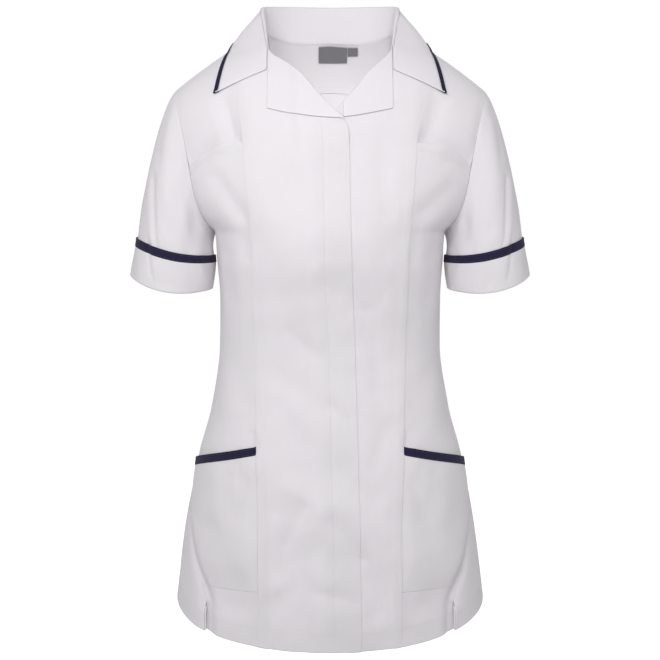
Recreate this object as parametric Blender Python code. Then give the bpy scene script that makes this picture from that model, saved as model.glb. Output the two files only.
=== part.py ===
"""A short-sleeved medical tunic, hollow as it hangs when worn, in metres with +Z up.

The origin is the middle of the neck, level with the shoulder points, and the front faces -Y.
The wearer's right is at -X. Every piece of cloth is a thin wall that grows inwards from the form.
"""

import math
from collections import namedtuple

import bpy
import numpy as np
from mathutils import Vector
from mathutils.bvhtree import BVHTree

# Cloth and seams
CLOTH = 0.0012  # thickness of one wall of cloth
SEAM = 0.00035  # gap between two pieces where they are sewn together
LAYER = CLOTH + 0.0005  # from one layer of cloth to the layer that lies on it
LOOSE = 0.0006  # how much further apart the layers lie at the lapels, the chest pockets and the label
PRINCESS_GAP = 0.0005  # the rows on the two sides of this seam don't match, so it is a little wider
RIGHT, LEFT = -1, 1  # the wearer's sides, as signs of X
FRONT, BACK = -1, 1  # as signs of Y

# Sections of the form, from the hem to the top of the shoulder. An edge is where a section ends:
# at the side seam up to the underarm, then at the armhole. front and back are depths at the centre,
# and edge_front and edge_back are the armhole's share of those depths.
Section = namedtuple(
    "Section",
    "z_edge z_front z_back half_width front back square edge_front edge_back",
)
SECTIONS = [
    Section(-0.667, -0.7065, -0.682, 0.1852, 0.1290, 0.1190, 2.15, 0, 0),
    Section(-0.582, -0.603, -0.589, 0.1745, 0.1270, 0.1170, 2.20, 0, 0),
    Section(-0.492, -0.500, -0.496, 0.1565, 0.1150, 0.1070, 2.30, 0, 0),
    Section(-0.438, -0.442, -0.440, 0.1420, 0.1050, 0.0960, 2.30, 0, 0),
    Section(-0.366, -0.366, -0.366, 0.1317, 0.0970, 0.0840, 2.30, 0, 0),
    Section(-0.307, -0.307, -0.307, 0.1314, 0.1060, 0.0850, 2.30, 0, 0),
    Section(-0.262, -0.262, -0.262, 0.1345, 0.1180, 0.0900, 2.30, 0, 0),
    Section(-0.232, -0.232, -0.232, 0.1370, 0.1200, 0.0940, 2.30, 0, 0),
    Section(-0.224, -0.2205, -0.222, 0.1425, 0.1192, 0.0945, 2.30, 0.150, 0.150),
    Section(-0.2125, -0.2025, -0.207, 0.1495, 0.1175, 0.0955, 2.30, 0.272, 0.285),
    Section(-0.190, -0.168, -0.178, 0.1575, 0.1120, 0.0975, 2.30, 0.393, 0.420),
    Section(-0.157, -0.120, -0.137, 0.1636, 0.1025, 0.0990, 2.30, 0.488, 0.480),
    Section(-0.1317, -0.083, -0.102, 0.1680, 0.0930, 0.0965, 2.30, 0.527, 0.500),
    Section(-0.100, -0.036, -0.052, 0.1750, 0.0750, 0.0850, 2.30, 0.560, 0.500),
    Section(-0.080, -0.003, -0.009, 0.1805, 0.0520, 0.0620, 2.30, 0.558, 0.470),
    Section(-0.0690, 0.019, 0.018, 0.1832, 0.0270, 0.0340, 2.30, 0.537, 0.450),
    Section(-0.0642, 0.031, 0.031, 0.1840, 0.0000, 0.0000, 2.30, 0.530, 0.440),
]
UNDERARM = 7  # the section at the bottom of the armhole
SHOULDER_POWER = 1.6  # how the shoulder line steepens outwards
HEM_POWER = 1.1  # how the hem rises round to the side
SHOULDER_LEVEL = 1 - 0.0004  # just under the ridge, where front and back are sewn together

# The side seam swings forward towards the hem and ends in a short vent. The front dips into a
# valley beside the seam, and below the top of the vent its edge passes under the back's.
SIDE_SWING = [  # (Z, degrees round the section)
    (-0.664, 39.5),
    (-0.640, 38.0),
    (-0.612, 31.0),
    (-0.582, 23.0),
    (-0.545, 14.0),
    (-0.505, 6.0),
    (-0.455, 0.0),
]
VENT_HEIGHT = 0.031
VENT_UNDERLAP = 0.012
VENT_FLAP = 0.0010  # how far the back's edge stands out over the vent
VALLEY_DEPTH = 0.0055
VALLEY_Z = (-0.632, -0.540)  # full depth below the first, none above the second
VALLEY_OFFSET = 0.0060  # from the seam to the bottom of the valley
VALLEY_WIDTH = 0.0110

# The largest other folds, as soft troughs from one point of the form to another, with X on the
# wearer's right or left or on both
Fold = namedtuple("Fold", "hands face x_top z_top x_low z_low half_width depth")
BOTH = (RIGHT, LEFT)
FOLDS = [
    Fold(BOTH, FRONT, 0.1240, -0.078, 0.1110, -0.120, 0.0130, 0.0026),
    Fold(BOTH, FRONT, 0.1230, -0.256, 0.1160, -0.305, 0.0110, 0.0020),
    Fold(BOTH, FRONT, 0.0990, -0.520, 0.1150, -0.580, 0.0130, 0.0018),
    Fold([RIGHT], FRONT, 0.0345, -0.540, 0.0550, -0.592, 0.0150, 0.0025),
    Fold([LEFT], FRONT, 0.0700, -0.560, 0.0640, -0.640, 0.0160, 0.0022),
    Fold([RIGHT], BACK, 0.0420, -0.500, 0.0330, -0.680, 0.0220, 0.0035),
    Fold([RIGHT], BACK, 0.1180, -0.540, 0.1270, -0.650, 0.0180, 0.0028),
    Fold([LEFT], BACK, 0.0300, -0.520, 0.0400, -0.670, 0.0230, 0.0032),
    Fold([LEFT], BACK, 0.1150, -0.520, 0.1230, -0.660, 0.0190, 0.0030),
]

# Seam lines over the front and the back, as (X on the piece's own side, Z)
PRINCESS_SEAM = [
    (0.0820, -0.700),
    (0.0822, -0.595),
    (0.0834, -0.529),
    (0.0850, -0.474),
    (0.0871, -0.356),
    (0.0904, -0.256),
    (0.0927, -0.211),
    (0.0953, -0.177),
    (0.1005, -0.129),
    (0.1076, -0.070),
    (0.1150, -0.015),
]
BACK_SEAM = [
    (0.0850, -0.690),
    (0.0820, -0.590),
    (0.0760, -0.480),
    (0.0705, -0.360),
    (0.0740, -0.260),
    (0.0840, -0.170),
    (0.0985, -0.090),
    (0.1150, -0.010),
]
# The free edge of the front that lies on top; it slants a little towards the wearer's left
PLACKET_EDGE = [
    (0.0356, -0.700),
    (0.0343, -0.592),
    (0.0312, -0.471),
    (0.0280, -0.360),
    (0.0231, -0.233),
    (0.0211, -0.131),
    (0.0200, -0.1125),
    (0.0143, -0.1006),
]
UNDERLAP = 0.040  # how far the lower front runs on beneath the placket
# The neck edge of each front, along which its lapel rolls, from the centre up to the shoulder
ROLL_RIGHT = [
    (-0.0143, -0.1006),
    (-0.0057, -0.0926),
    (0.0109, -0.0754),
    (0.0282, -0.0556),
    (0.0457, -0.0390),
    (0.0587, -0.0305),
    (0.0671, -0.0243),
    (0.0721, -0.0144),
    (0.0745, -0.0020),
]
ROLL_LEFT = [
    (-0.0120, -0.1075),
    (0.0057, -0.0926),
    (0.0154, -0.0815),
    (0.0285, -0.0670),
    (0.0420, -0.0500),
    (0.0587, -0.0335),
    (0.0671, -0.0255),
    (0.0721, -0.0144),
    (0.0745, -0.0020),
]
GORGE = (0.0732, -0.0100)  # (X, Z) where the collar's stand begins on the neck edge
NECK_POINT = 0.0760  # X of the neck point on top of the shoulder
BACK_NECK_Z = -0.003  # height of the back neck seam at the centre

# Pockets and facing
HIP_POCKET_TOP = (-0.5007, -0.4755)  # Z at the side seam and at the princess seam
HIP_POCKET_BOTTOM = (-0.640, -0.640)
HIP_POCKET_SAG = 0.8  # below 1 the mouth falls fastest beside the princess seam
HIP_BAND = 0.0090  # depth of the contrast band on the pocket
CHEST_POCKET_MOUTH = (-0.156, -0.1275)  # Z at the armhole and at the princess seam
CHEST_POCKET_SAG = 1.7  # how the mouth curves down towards the armhole
CHEST_POCKET_TUCK = 0.012  # how far the panel above runs down behind the mouth
CHEST_POCKET_RISE = (0.004, 0.030)  # shares of the form's length in which that panel comes forward again
FACING_DEPTH = 0.056  # of the facing inside the back neck
LABEL_SIZE = (0.0350, 0.0200)  # width and drop of the plain neck label
TAB_SIZE = (0.0120, 0.0120)
LABEL_X = (-0.0140, 0.0222)  # left edges of the label and of the tab beside it
LABEL_TOP = 0.001  # from the neck seam down to their top edges, as a share of the form's length

# Lapels
LAPEL_SIDE_X = 0.0712  # the square outer edge
LAPEL_CORNER_Z = -0.0888  # its lower corner
LAPEL_LOW_Z = -0.1010  # the lower edge at the centre
LAPEL_END_X = 0.0155  # where the wearer's left lapel goes under the right one
LAPEL_LEAST = 0.0012  # the least height of a lapel, at its tip

# Sleeves
CUFF_CENTRE = (0.1896, 0.001, -0.2905)  # on the wearer's left
CUFF_HALF = (0.0480, 0.0570)  # half width and half depth of the sleeve's end
CUFF_TILT = math.radians(9.5)  # the outer end is higher
CUFF_DIP = (0.0095, 0.0060)  # how much lower the end hangs at front and back
CUFF_DEPTH = (0.0405, 0.0465)  # with the band, at the inner and the outer side of the arm
CUFF_DEPTH_FRONT = 0.0042  # more than that at the front
CUFF_BAND = 0.0090
SLEEVE_COLUMNS = 22
# How a sleeve leaves the armhole, at the underarm and at the top of the shoulder
SLEEVE_SIDEWAYS = (0.27, 0.54)
SLEEVE_FORWARD = 0.30
SLEEVE_DOWN = (0.95, 0.80)
SLEEVE_LEAVE = (0.10, 0.16)  # how long it keeps that direction, in metres
SLEEVE_ARRIVE = 0.16  # the same for the straight run at the cuff

# Collar: lines on the wearer's left from the front end round to the centre back
COLLAR_FOLD = [
    (0.0728, -0.0455, -0.0125),
    (0.0750, -0.0300, 0.0025),
    (0.0772, -0.0130, 0.0170),
    (0.0800, 0.0030, 0.0300),
    (0.0800, 0.0190, 0.0372),
    (0.0705, 0.0380, 0.0400),
    (0.0530, 0.0535, 0.0415),
    (0.0280, 0.0635, 0.0422),
    (0.0000, 0.0668, 0.0422),
]
COLLAR_OUTER = [
    (0.1334, -0.0603, -0.0687),
    (0.1280, -0.0440, -0.0470),
    (0.1218, -0.0230, -0.0258),
    (0.1155, 0.0000, -0.0112),
    (0.1085, 0.0260, -0.0125),
    (0.0960, 0.0500, -0.0165),
    (0.0720, 0.0690, -0.0190),
    (0.0380, 0.0795, -0.0200),
    (0.0000, 0.0830, -0.0200),
]
COLLAR_NOTCH = (0.0728, -0.0700, -0.0425)  # where collar and lapel part
COLLAR_NOTCH_SHARE = 0.27  # of the collar's front end that lies above the notch
COLLAR_END = 0.30  # share of half the collar's length over which its end is drawn to the notch
COLLAR_ROLL = (0.0016, 0.0028)  # radius of the fold at the front end and at the back
COLLAR_SWELL = 0.003  # how far the leaf bulges
COLLAR_CLEARANCE = 0.0014  # from the form to the leaf's underside
COLLAR_TRIM = 0.0045  # width of the contrast edge

WHITE = (0.86, 0.86, 0.87, 1.0)
NAVY = (0.018, 0.014, 0.055, 1.0)
GREY = (0.30, 0.31, 0.32, 1.0)


def smooth_step(x, low, high):
    share = np.clip((np.asarray(x, float) - low) / (high - low), 0.0, 1.0)
    return share * share * (3 - 2 * share)


def spline(at, knots, values):
    """A smooth curve through the values that never swings past them."""
    knots, values = np.asarray(knots, float), np.asarray(values, float)
    step = np.diff(knots)
    slope = np.diff(values) / step
    tangent = np.zeros(len(knots))
    same = slope[:-1] * slope[1:] > 0
    weight_low, weight_high = 2 * step[1:] + step[:-1], step[1:] + 2 * step[:-1]
    below = np.where(same, slope[:-1], 1.0)
    above = np.where(same, slope[1:], 1.0)
    mean = (weight_low + weight_high) / (weight_low / below + weight_high / above)
    tangent[1:-1] = np.where(same, mean, 0.0)
    tangent[0], tangent[-1] = slope[0], slope[-1]
    at = np.clip(np.asarray(at, float), knots[0], knots[-1])
    i = np.clip(np.searchsorted(knots, at, side="right") - 1, 0, len(step) - 1)
    s = (at - knots[i]) / step[i]
    return (
        (1 + 2 * s) * (1 - s) ** 2 * values[i]
        + s * (1 - s) ** 2 * step[i] * tangent[i]
        + s * s * (3 - 2 * s) * values[i + 1]
        + s * s * (s - 1) * step[i] * tangent[i + 1]
    )


def curve_3d(at, points):
    """Points at shares 0 to 1 of a smooth line through the points, by length."""
    length = running_length(points)
    knots = length / length[-1]
    return np.stack([spline(at, knots, points[:, k]) for k in range(3)], axis=-1)


def running_length(line):
    """The length along a line of points up to each of them."""
    return np.concatenate([[0], np.cumsum(np.linalg.norm(np.diff(line, axis=0), axis=1))])


# The level of each section, 0 at the hem and 1 on top of the shoulder, by length up the front
SECTION_LENGTHS = running_length([(s.z_front, s.front) for s in SECTIONS])
FORM_LENGTH = SECTION_LENGTHS[-1]
LEVELS = SECTION_LENGTHS / FORM_LENGTH
UNDERARM_LEVEL = LEVELS[UNDERARM]


def column(name, level):
    return spline(level, LEVELS, [getattr(s, name) for s in SECTIONS])


VENT_LEVEL = VENT_HEIGHT / (SECTIONS[1].z_edge - SECTIONS[0].z_edge) * LEVELS[1]


def edge_turn(face, level):
    """The angle at which a section ends at its side seam or armhole; the centre is at a right angle."""
    share = column("edge_front" if face == FRONT else "edge_back", level)
    square = column("square", level)
    return np.arctan2(share, (1 - share**square) ** (1 / square))


def plain_form(hand, face, turn, level):
    """Points on the form with no folds, at an angle round the section and a level up it."""
    square = column("square", level)
    front = face == FRONT
    share = column("edge_front" if front else "edge_back", level)
    depth = column("front" if front else "back", level)
    z_centre = column("z_front" if front else "z_back", level)
    z_edge, half_width = column("z_edge", level), column("half_width", level)
    cos, sin = np.cos(turn), np.sin(turn)
    size = (np.abs(cos) ** square + np.abs(sin) ** square) ** (-1 / square)
    x = half_width / (1 - share**square) ** (1 / square) * size * cos
    out = size * sin
    across = 1 - np.minimum(np.abs(x) / half_width, 1.0) ** SHOULDER_POWER
    below = 1 - smooth_step(level, UNDERARM_LEVEL - 0.04, UNDERARM_LEVEL + 0.02)
    round_side = np.maximum((out - share) / (1 - share), 0) ** HEM_POWER
    rise = below * round_side + (1 - below) * across
    z = z_edge + (z_centre - z_edge) * rise
    return np.stack([hand * x, face * depth * out, z], axis=-1)


def side_swing(level):
    """The angle by which the side seam swings forward."""
    z, degrees = np.array(SIDE_SWING).T
    return np.radians(spline(column("z_edge", level), z, degrees))


def vent_share(level):
    """0 from the top of the vent upwards, 1 at the hem."""
    return np.clip(1 - np.asarray(level) / VENT_LEVEL, 0, 1)


def side_fold(face, front_turn, level):
    """How far the cloth stands out beside the side seam, negative where it dips."""
    from_seam = (front_turn - side_swing(level)) * column("half_width", level)
    beside = np.exp(-(((from_seam - VALLEY_OFFSET) / VALLEY_WIDTH) ** 2))
    depth = VALLEY_DEPTH * (1 - smooth_step(column("z_edge", level), *VALLEY_Z))
    vent = vent_share(level)
    if face == BACK:
        raised = smooth_step(vent, 0, 0.5)
        near = smooth_step(from_seam, -0.060, -0.010)
        return near * VENT_FLAP * raised - depth * beside * (1 - raised)
    held = smooth_step(vent, 0, 0.3) * (from_seam < VALLEY_OFFSET)
    return -depth * (beside + (1 - beside) * held)


def fold_depth(face, x, z):
    """How deep the form dips in the folds near (X, Z)."""
    depth = np.zeros(np.shape(x))
    for fold in FOLDS:
        if fold.face != face:
            continue
        run_x, run_z = fold.x_low - fold.x_top, fold.z_low - fold.z_top
        for hand in fold.hands:
            from_x, from_z = hand * x - fold.x_top, z - fold.z_top
            along = np.clip((from_x * run_x + from_z * run_z) / (run_x**2 + run_z**2), 0, 1)
            away = np.hypot(from_x - run_x * along, from_z - run_z * along)
            depth += fold.depth * np.exp(-((away / fold.half_width) ** 2))
    return depth


def form(hand, face, turn, level, lift=0.0):
    """(points, normals) on the form, moved out by lift. The back may run on past the side line."""
    turn, level = np.broadcast_arrays(np.asarray(turn, float), np.asarray(level, float))
    tiny = 1e-4

    def at(turn, level):
        wrapped = (turn < 0) | (turn > math.pi)
        own = plain_form(hand, face, turn, level)
        other = plain_form(hand, -face, np.where(turn < 0, -turn, 2 * math.pi - turn), level)
        return np.where(wrapped[..., None], other, own)

    middle = at(turn, level)
    low, high = np.maximum(level - tiny, 0), np.minimum(level + tiny, 1)
    along = at(turn, high) - at(turn, low)
    normal = np.cross(at(turn + tiny, level) - at(turn - tiny, level), along) * (hand * face)
    normal /= np.linalg.norm(normal, axis=-1, keepdims=True)
    if face == FRONT:
        front_turn = turn
    else:
        front_turn = np.where(turn > math.pi / 2, turn - math.pi, -turn)
    height = side_fold(face, front_turn, level) - fold_depth(face, middle[..., 0], middle[..., 2])
    return middle + normal * (height + np.asarray(lift))[..., None], normal


def turn_at(hand, face, level, own_x):
    """The angle at which a section passes X, measured towards the piece's own side."""
    square = column("square", level)
    share = column("edge_front" if face == FRONT else "edge_back", level)
    across = own_x / column("half_width", level) * (1 - share**square) ** (1 / square)
    across = np.clip(across, -0.99999, 0.99999)
    return np.arctan2((1 - np.abs(across) ** square) ** (1 / square), across)


def level_at(hand, face, own_x, z):
    """The level at which the form passes (X, Z)."""
    own_x, z = np.broadcast_arrays(np.asarray(own_x, float), np.asarray(z, float))
    low, high = np.zeros(z.shape), np.ones(z.shape)
    for _ in range(40):
        middle = (low + high) / 2
        here = plain_form(hand, face, turn_at(hand, face, middle, own_x), middle)[..., 2]
        low, high = np.where(here < z, middle, low), np.where(here < z, high, middle)
    return (low + high) / 2


def seam_turn(hand, face, line, level):
    """The angle of a seam line, given as (X, Z) points, at each level."""
    x_of, z_of = np.array(line).T
    order = np.argsort(z_of)
    z = np.asarray(column("z_front", level), float)
    for _ in range(4):
        x = spline(z, z_of[order], x_of[order])
        turn = turn_at(hand, face, level, x)
        z = plain_form(hand, face, turn, level)[..., 2]
    return turn


def gap_turn(hand, face, turn, level, gap):
    """The change of angle that moves a point by the gap along its section."""
    tiny = 1e-4
    step = plain_form(hand, face, turn + tiny, level) - plain_form(hand, face, turn, level)
    return gap * tiny / np.linalg.norm(step, axis=-1)


def add_object(name, vertices, faces, colour, smooth_angle=50):
    mesh = bpy.data.meshes.new(name)
    mesh.from_pydata([tuple(v) for v in vertices], [], faces)
    mesh.update()
    mesh.shade_smooth()
    mesh.set_sharp_from_angle(angle=math.radians(smooth_angle))
    mesh.materials.append(material_for(colour))
    obj = bpy.data.objects.new(name, mesh)
    bpy.context.scene.collection.objects.link(obj)
    return obj


def material_for(colour):
    names = {WHITE: "white_cloth", NAVY: "navy_trim", GREY: "grey_label"}
    found = bpy.data.materials.get(names[colour])
    if found:
        return found
    material = bpy.data.materials.new(names[colour])
    material.use_nodes = True
    shader = material.node_tree.nodes["Principled BSDF"]
    shader.inputs["Base Color"].default_value = colour
    shader.inputs["Roughness"].default_value = 0.85
    shader.inputs["Metallic"].default_value = 0.0
    return material


def wall(name, outer, inner, colour, tube=False):
    """A closed wall between two grids of points, rows by columns. A tube's columns close on themselves."""
    rows, columns = outer.shape[:2]
    across = columns if tube else columns - 1
    inside = rows * columns
    faces = []

    def corner(i, j, layer=0):
        return layer * inside + i * columns + j % columns

    def four(a, b, c, d):
        faces.extend([(a, b, c), (a, c, d)])

    for i in range(rows - 1):
        for j in range(across):
            a, b, c, d = corner(i, j), corner(i, j + 1), corner(i + 1, j + 1), corner(i + 1, j)
            four(a, b, c, d)
            faces.extend([(c + inside, b + inside, a + inside), (d + inside, c + inside, a + inside)])
    top = rows - 1
    for j in range(across):
        four(corner(0, j), corner(0, j, 1), corner(0, j + 1, 1), corner(0, j + 1))
        four(corner(top, j + 1), corner(top, j + 1, 1), corner(top, j, 1), corner(top, j))
    if not tube:
        last = columns - 1
        for i in range(rows - 1):
            four(corner(i, 0, 1), corner(i, 0), corner(i + 1, 0), corner(i + 1, 0, 1))
            four(corner(i, last), corner(i, last, 1), corner(i + 1, last, 1), corner(i + 1, last))
    vertices = np.concatenate([outer.reshape(-1, 3), inner.reshape(-1, 3)])
    if signed_volume(vertices, faces) < 0:
        faces = [face[::-1] for face in faces]
    return add_object(name, vertices, faces, colour)


def signed_volume(vertices, faces):
    a, b, c = (vertices[list(corners)] for corners in zip(*faces))
    return np.sum(a * np.cross(b, c))


def form_wall(name, hand, face, turn, level, lift=0.0, cloth=CLOTH, colour=WHITE):
    """A wall on the form, over grids of angles and levels. It keeps to its side of the shoulder seam."""
    outer, normal = form(hand, face, turn, level, lift)
    inner = outer - normal * cloth
    on_shoulder = np.asarray(level) > UNDERARM_LEVEL
    for points in (outer, inner):
        clear = face * np.maximum(face * points[..., 1], SEAM / 2)
        points[..., 1] = np.where(on_shoulder, clear, points[..., 1])
    return wall(name, outer, inner, colour)


def grid_normals(points, tube):
    """Unit normals of a grid of points, rows by columns."""
    if tube:
        around = np.roll(points, -1, axis=1) - np.roll(points, 1, axis=1)
    else:
        around = np.gradient(points, axis=1)
    normal = np.cross(around, np.gradient(points, axis=0))
    return normal / np.linalg.norm(normal, axis=-1, keepdims=True)


def neck_edge(hand, level):
    """The angle of a front's inner edge: its placket or underlap edge, then its roll line."""
    roll = ROLL_RIGHT if hand == RIGHT else ROLL_LEFT
    roll_x, roll_z = np.array(roll).T
    roll_level = np.append(level_at(hand, FRONT, roll_x, roll_z), 1.0)
    x_on_roll = spline(level, roll_level, np.append(roll_x, NECK_POINT))
    edge = [(-x, z) for x, z in PLACKET_EDGE]
    if hand == LEFT:
        edge = [(x - UNDERLAP, z) for x, z in PLACKET_EDGE]
        edge[-1] = roll[0]
    below = seam_turn(hand, FRONT, edge, level)
    above = turn_at(hand, FRONT, level, x_on_roll)
    return np.where(level < roll_level[0], below, above), roll_level[0]


def overlap_lift(hand, x, z):
    """The upper front stands out over the lower one near its placket edge."""
    if hand == LEFT:
        return 0.0
    edge_x, edge_z = np.array(PLACKET_EDGE).T
    edge = spline(z, edge_z, edge_x)
    near = smooth_step(x, edge - UNDERLAP - 0.024, edge - UNDERLAP - 0.008)
    high = LAYER * smooth_step(z, -0.160, -0.120)
    return near * (LAYER + high)


def body_rows(high, counts):
    """Levels from the hem up to a level, closer together over the bust than over the skirt."""
    waist, bust = level_at(LEFT, FRONT, np.zeros(2), np.array([-0.340, -0.170]))
    stops = [0.0, waist, bust, high]
    parts = [np.linspace(a, b, n + 1)[:-1] for a, b, n in zip(stops[:-1], stops[1:], counts)]
    return np.concatenate([*parts, [high]])


def front_panel(hand):
    """The centre front from the princess seam to the placket, up to the shoulder."""
    break_level = float(neck_edge(hand, np.array([0.5]))[1])
    roll = ROLL_RIGHT if hand == RIGHT else ROLL_LEFT
    roll_levels = level_at(hand, FRONT, *np.array(roll[1:]).T)
    level = np.concatenate([body_rows(break_level, (8, 9, 4)), roll_levels, [SHOULDER_LEVEL]])
    outer_turn = seam_turn(hand, FRONT, PRINCESS_SEAM, level)
    inner_turn = neck_edge(hand, level)[0]
    outer_turn = outer_turn + gap_turn(hand, FRONT, outer_turn, level, PRINCESS_GAP / 2)
    turn = outer_turn[:, None] + (inner_turn - outer_turn)[:, None] * np.linspace(0, 1, 8)
    level = np.repeat(level[:, None], turn.shape[1], axis=1)
    points = plain_form(hand, FRONT, turn, level)
    lift = overlap_lift(hand, points[..., 0], points[..., 2])
    name = "front_right" if hand == RIGHT else "front_left"
    return form_wall(name, hand, FRONT, turn, level, lift=lift)


def side_edge_turn(face, level):
    """The edge of a front or back at the side seam or armhole, half a seam away from it."""
    turn = edge_turn(face, level) - face * side_swing(level)
    inwards = gap_turn(LEFT, face, np.maximum(turn, 0) + 1e-3, level, SEAM / 2)
    if face == BACK:
        return turn + inwards
    underlap = VENT_UNDERLAP * smooth_step(vent_share(level), 0.15, 0.6)
    return turn + inwards * (underlap == 0) - underlap / column("half_width", level)


def line_level(hand, ends, across, power=1.0):
    """Levels of a line over the side front, from its Z at the outer edge and at the princess seam."""
    outer_z, inner_z = ends
    z = inner_z + (outer_z - inner_z) * (1 - across) ** power
    low, high = np.zeros(across.shape), np.ones(across.shape)
    for _ in range(30):
        level = (low + high) / 2
        here = plain_form(hand, FRONT, side_front_turn(hand, across, level), level)[..., 2]
        low, high = np.where(here < z, level, low), np.where(here < z, high, level)
    return level


def side_front_turn(hand, across, level):
    outer = side_edge_turn(FRONT, level)
    inner = seam_turn(hand, FRONT, PRINCESS_SEAM, level)
    inner = inner - gap_turn(hand, FRONT, inner, level, PRINCESS_GAP / 2)
    return outer + (inner - outer) * across


def side_front(hand):
    """The side front in two pieces with the chest pocket's mouth between them, and the hip pocket."""
    side = "right" if hand == RIGHT else "left"
    across = np.array([0, 0.1, 0.22, 0.36, 0.51, 0.67, 0.84, 1])
    mouth = line_level(hand, CHEST_POCKET_MOUTH, across, CHEST_POCKET_SAG)
    pocket_top = line_level(hand, HIP_POCKET_TOP, across, HIP_POCKET_SAG)
    band_low = line_level(hand, [z - HIP_BAND for z in HIP_POCKET_TOP], across, HIP_POCKET_SAG)
    pocket_low = line_level(hand, HIP_POCKET_BOTTOM, across)
    vent_rows = (0, 0.25, 0.5, 0.7, 0.85, 1)

    def between(low, high, spacing):
        level = low + (high - low) * np.asarray(spacing)[:, None]
        return side_front_turn(hand, np.broadcast_to(across, level.shape), level), level

    skirt = between(0 * across, VENT_LEVEL + 0 * across, vent_rows)
    hip = between(VENT_LEVEL + 0 * across, pocket_low, (0, 1))
    bag = between(pocket_low, band_low, np.linspace(0, 1, 5))
    band = between(band_low, pocket_top, (0, 1))
    body = between(pocket_top, mouth, np.linspace(0, 1, 14) ** 0.85)
    parts = (skirt, hip, bag, band)
    lower = [np.concatenate([*(part[k][:-1] for part in parts), body[k]]) for k in (0, 1)]
    seam_levels = lower[1][:, 0]
    form_wall(f"side_front_lower_{side}", hand, FRONT, *lower)
    form_wall(f"hip_pocket_{side}", hand, FRONT, *bag, lift=LAYER)
    band = between(band_low + SEAM / FORM_LENGTH, pocket_top, (0, 1))
    form_wall(f"hip_pocket_band_{side}", hand, FRONT, *band, lift=LAYER, colour=NAVY)
    ends = [z - CHEST_POCKET_TUCK for z in CHEST_POCKET_MOUTH]
    tucked = line_level(hand, ends, across, CHEST_POCKET_SAG)
    turn, level = between(tucked, SHOULDER_LEVEL + 0 * across, np.linspace(0, 1, 11))
    behind = 1 - smooth_step(level - mouth, *CHEST_POCKET_RISE)
    form_wall(f"side_front_upper_{side}", hand, FRONT, turn, level, lift=-(LAYER + LOOSE) * behind)
    return seam_levels


def back_neck_level(x):
    """The level of the back neck seam, from the neck point down to the centre."""
    low = level_at(RIGHT, BACK, 0.0, BACK_NECK_Z)
    share = np.clip(np.abs(x) / NECK_POINT, 0, 1)
    return low + (SHOULDER_LEVEL - low) * (1 - np.sqrt(1 - share**2.6))


def back_seam_turn(hand, level, gap):
    """The angle of the seam over the back, moved from the side towards the centre by the gap."""
    turn = seam_turn(hand, BACK, BACK_SEAM, level)
    return turn + gap_turn(hand, BACK, turn, level, gap)


def centre_back_grid(low, high, spacing, across):
    """Angles and levels over the centre back, from its right seam to its left one."""
    level = low + (high - low) * np.asarray(spacing)[:, None]
    edge = back_seam_turn(RIGHT, level, SEAM / 2)
    return edge + (math.pi - 2 * edge) * across, level


def back_pieces(seam_levels):
    """The back in three pieces, its neck facing, and the plain label and tab that hang on the facing."""
    facing_level = float(level_at(RIGHT, BACK, 0.0, BACK_NECK_Z - FACING_DEPTH))
    shoulder_levels = np.linspace(UNDERARM_LEVEL, facing_level, 6)
    rows = np.concatenate([seam_levels[seam_levels < UNDERARM_LEVEL - 0.01], shoulder_levels])
    neck_rows = np.linspace(0, 1, 6)
    side_rows = np.concatenate([rows, facing_level + (SHOULDER_LEVEL - facing_level) * neck_rows[1:]])
    for hand, side in ((RIGHT, "right"), (LEFT, "left")):
        level = np.repeat(side_rows[:, None], 7, axis=1)
        edge, seam = side_edge_turn(BACK, level), back_seam_turn(hand, level, -SEAM / 2)
        turn = edge + (seam - edge) * np.array([0, 0.1, 0.24, 0.4, 0.58, 0.78, 1])
        form_wall(f"side_back_{side}", hand, BACK, turn, level)
    edge = float(back_seam_turn(RIGHT, 1.0, SEAM / 2))
    neck = (float(turn_at(RIGHT, BACK, 1.0, NECK_POINT)) - edge) / (math.pi - 2 * edge)
    half = np.concatenate([neck * np.array([0, 0.35, 0.7]), np.linspace(neck, 0.5, 5)])
    across = np.concatenate([half, 1 - half[-2::-1]])
    x = plain_form(RIGHT, BACK, edge + (math.pi - 2 * edge) * across, 1.0)[..., 0]
    top = np.where(np.abs(x) < NECK_POINT - 1e-6, back_neck_level(x), SHOULDER_LEVEL)
    flat = np.ones(across.shape)
    body = centre_back_grid(0 * flat, facing_level * flat, rows / facing_level, across)
    neck_part = centre_back_grid(facing_level * flat, top, neck_rows, across)
    form_wall("back", RIGHT, BACK, *(np.concatenate([body[k][:-1], neck_part[k]]) for k in (0, 1)))
    inside = slice(2, -2)
    facing = neck_part[0][:, inside], neck_part[1][:, inside]
    form_wall("back_neck_facing", RIGHT, BACK, *facing, lift=-LAYER)
    for name, left_x, (width, drop) in zip(("neck_label", "size_tab"), LABEL_X, (LABEL_SIZE, TAB_SIZE)):
        x = -np.linspace(left_x, left_x + width, 4)
        top = back_neck_level(x) - LABEL_TOP
        low = level_at(RIGHT, BACK, x, BACK_NECK_Z - drop)
        level = low + (top - low) * np.linspace(0, 1, 3)[:, None]
        turn = turn_at(RIGHT, BACK, level, np.broadcast_to(x, level.shape))
        form_wall(name, RIGHT, BACK, turn, level, lift=-(2 * LAYER + LOOSE), colour=GREY)


def armhole_ring(hand, count):
    """Points round the armhole, from the shoulder down the front to the underarm and up the back."""
    level = np.linspace(UNDERARM_LEVEL, 1, 400)
    front = plain_form(hand, FRONT, edge_turn(FRONT, level), level)
    back = plain_form(hand, BACK, edge_turn(BACK, level), level)
    loop = np.concatenate([front[::-1], back[1:-1]])
    loop = np.concatenate([loop, loop[:1]])
    length = running_length(loop)
    at = np.linspace(0, length[-1], count, endpoint=False)
    return np.stack([np.interp(at, length, loop[:, k]) for k in range(3)], axis=-1)


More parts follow.
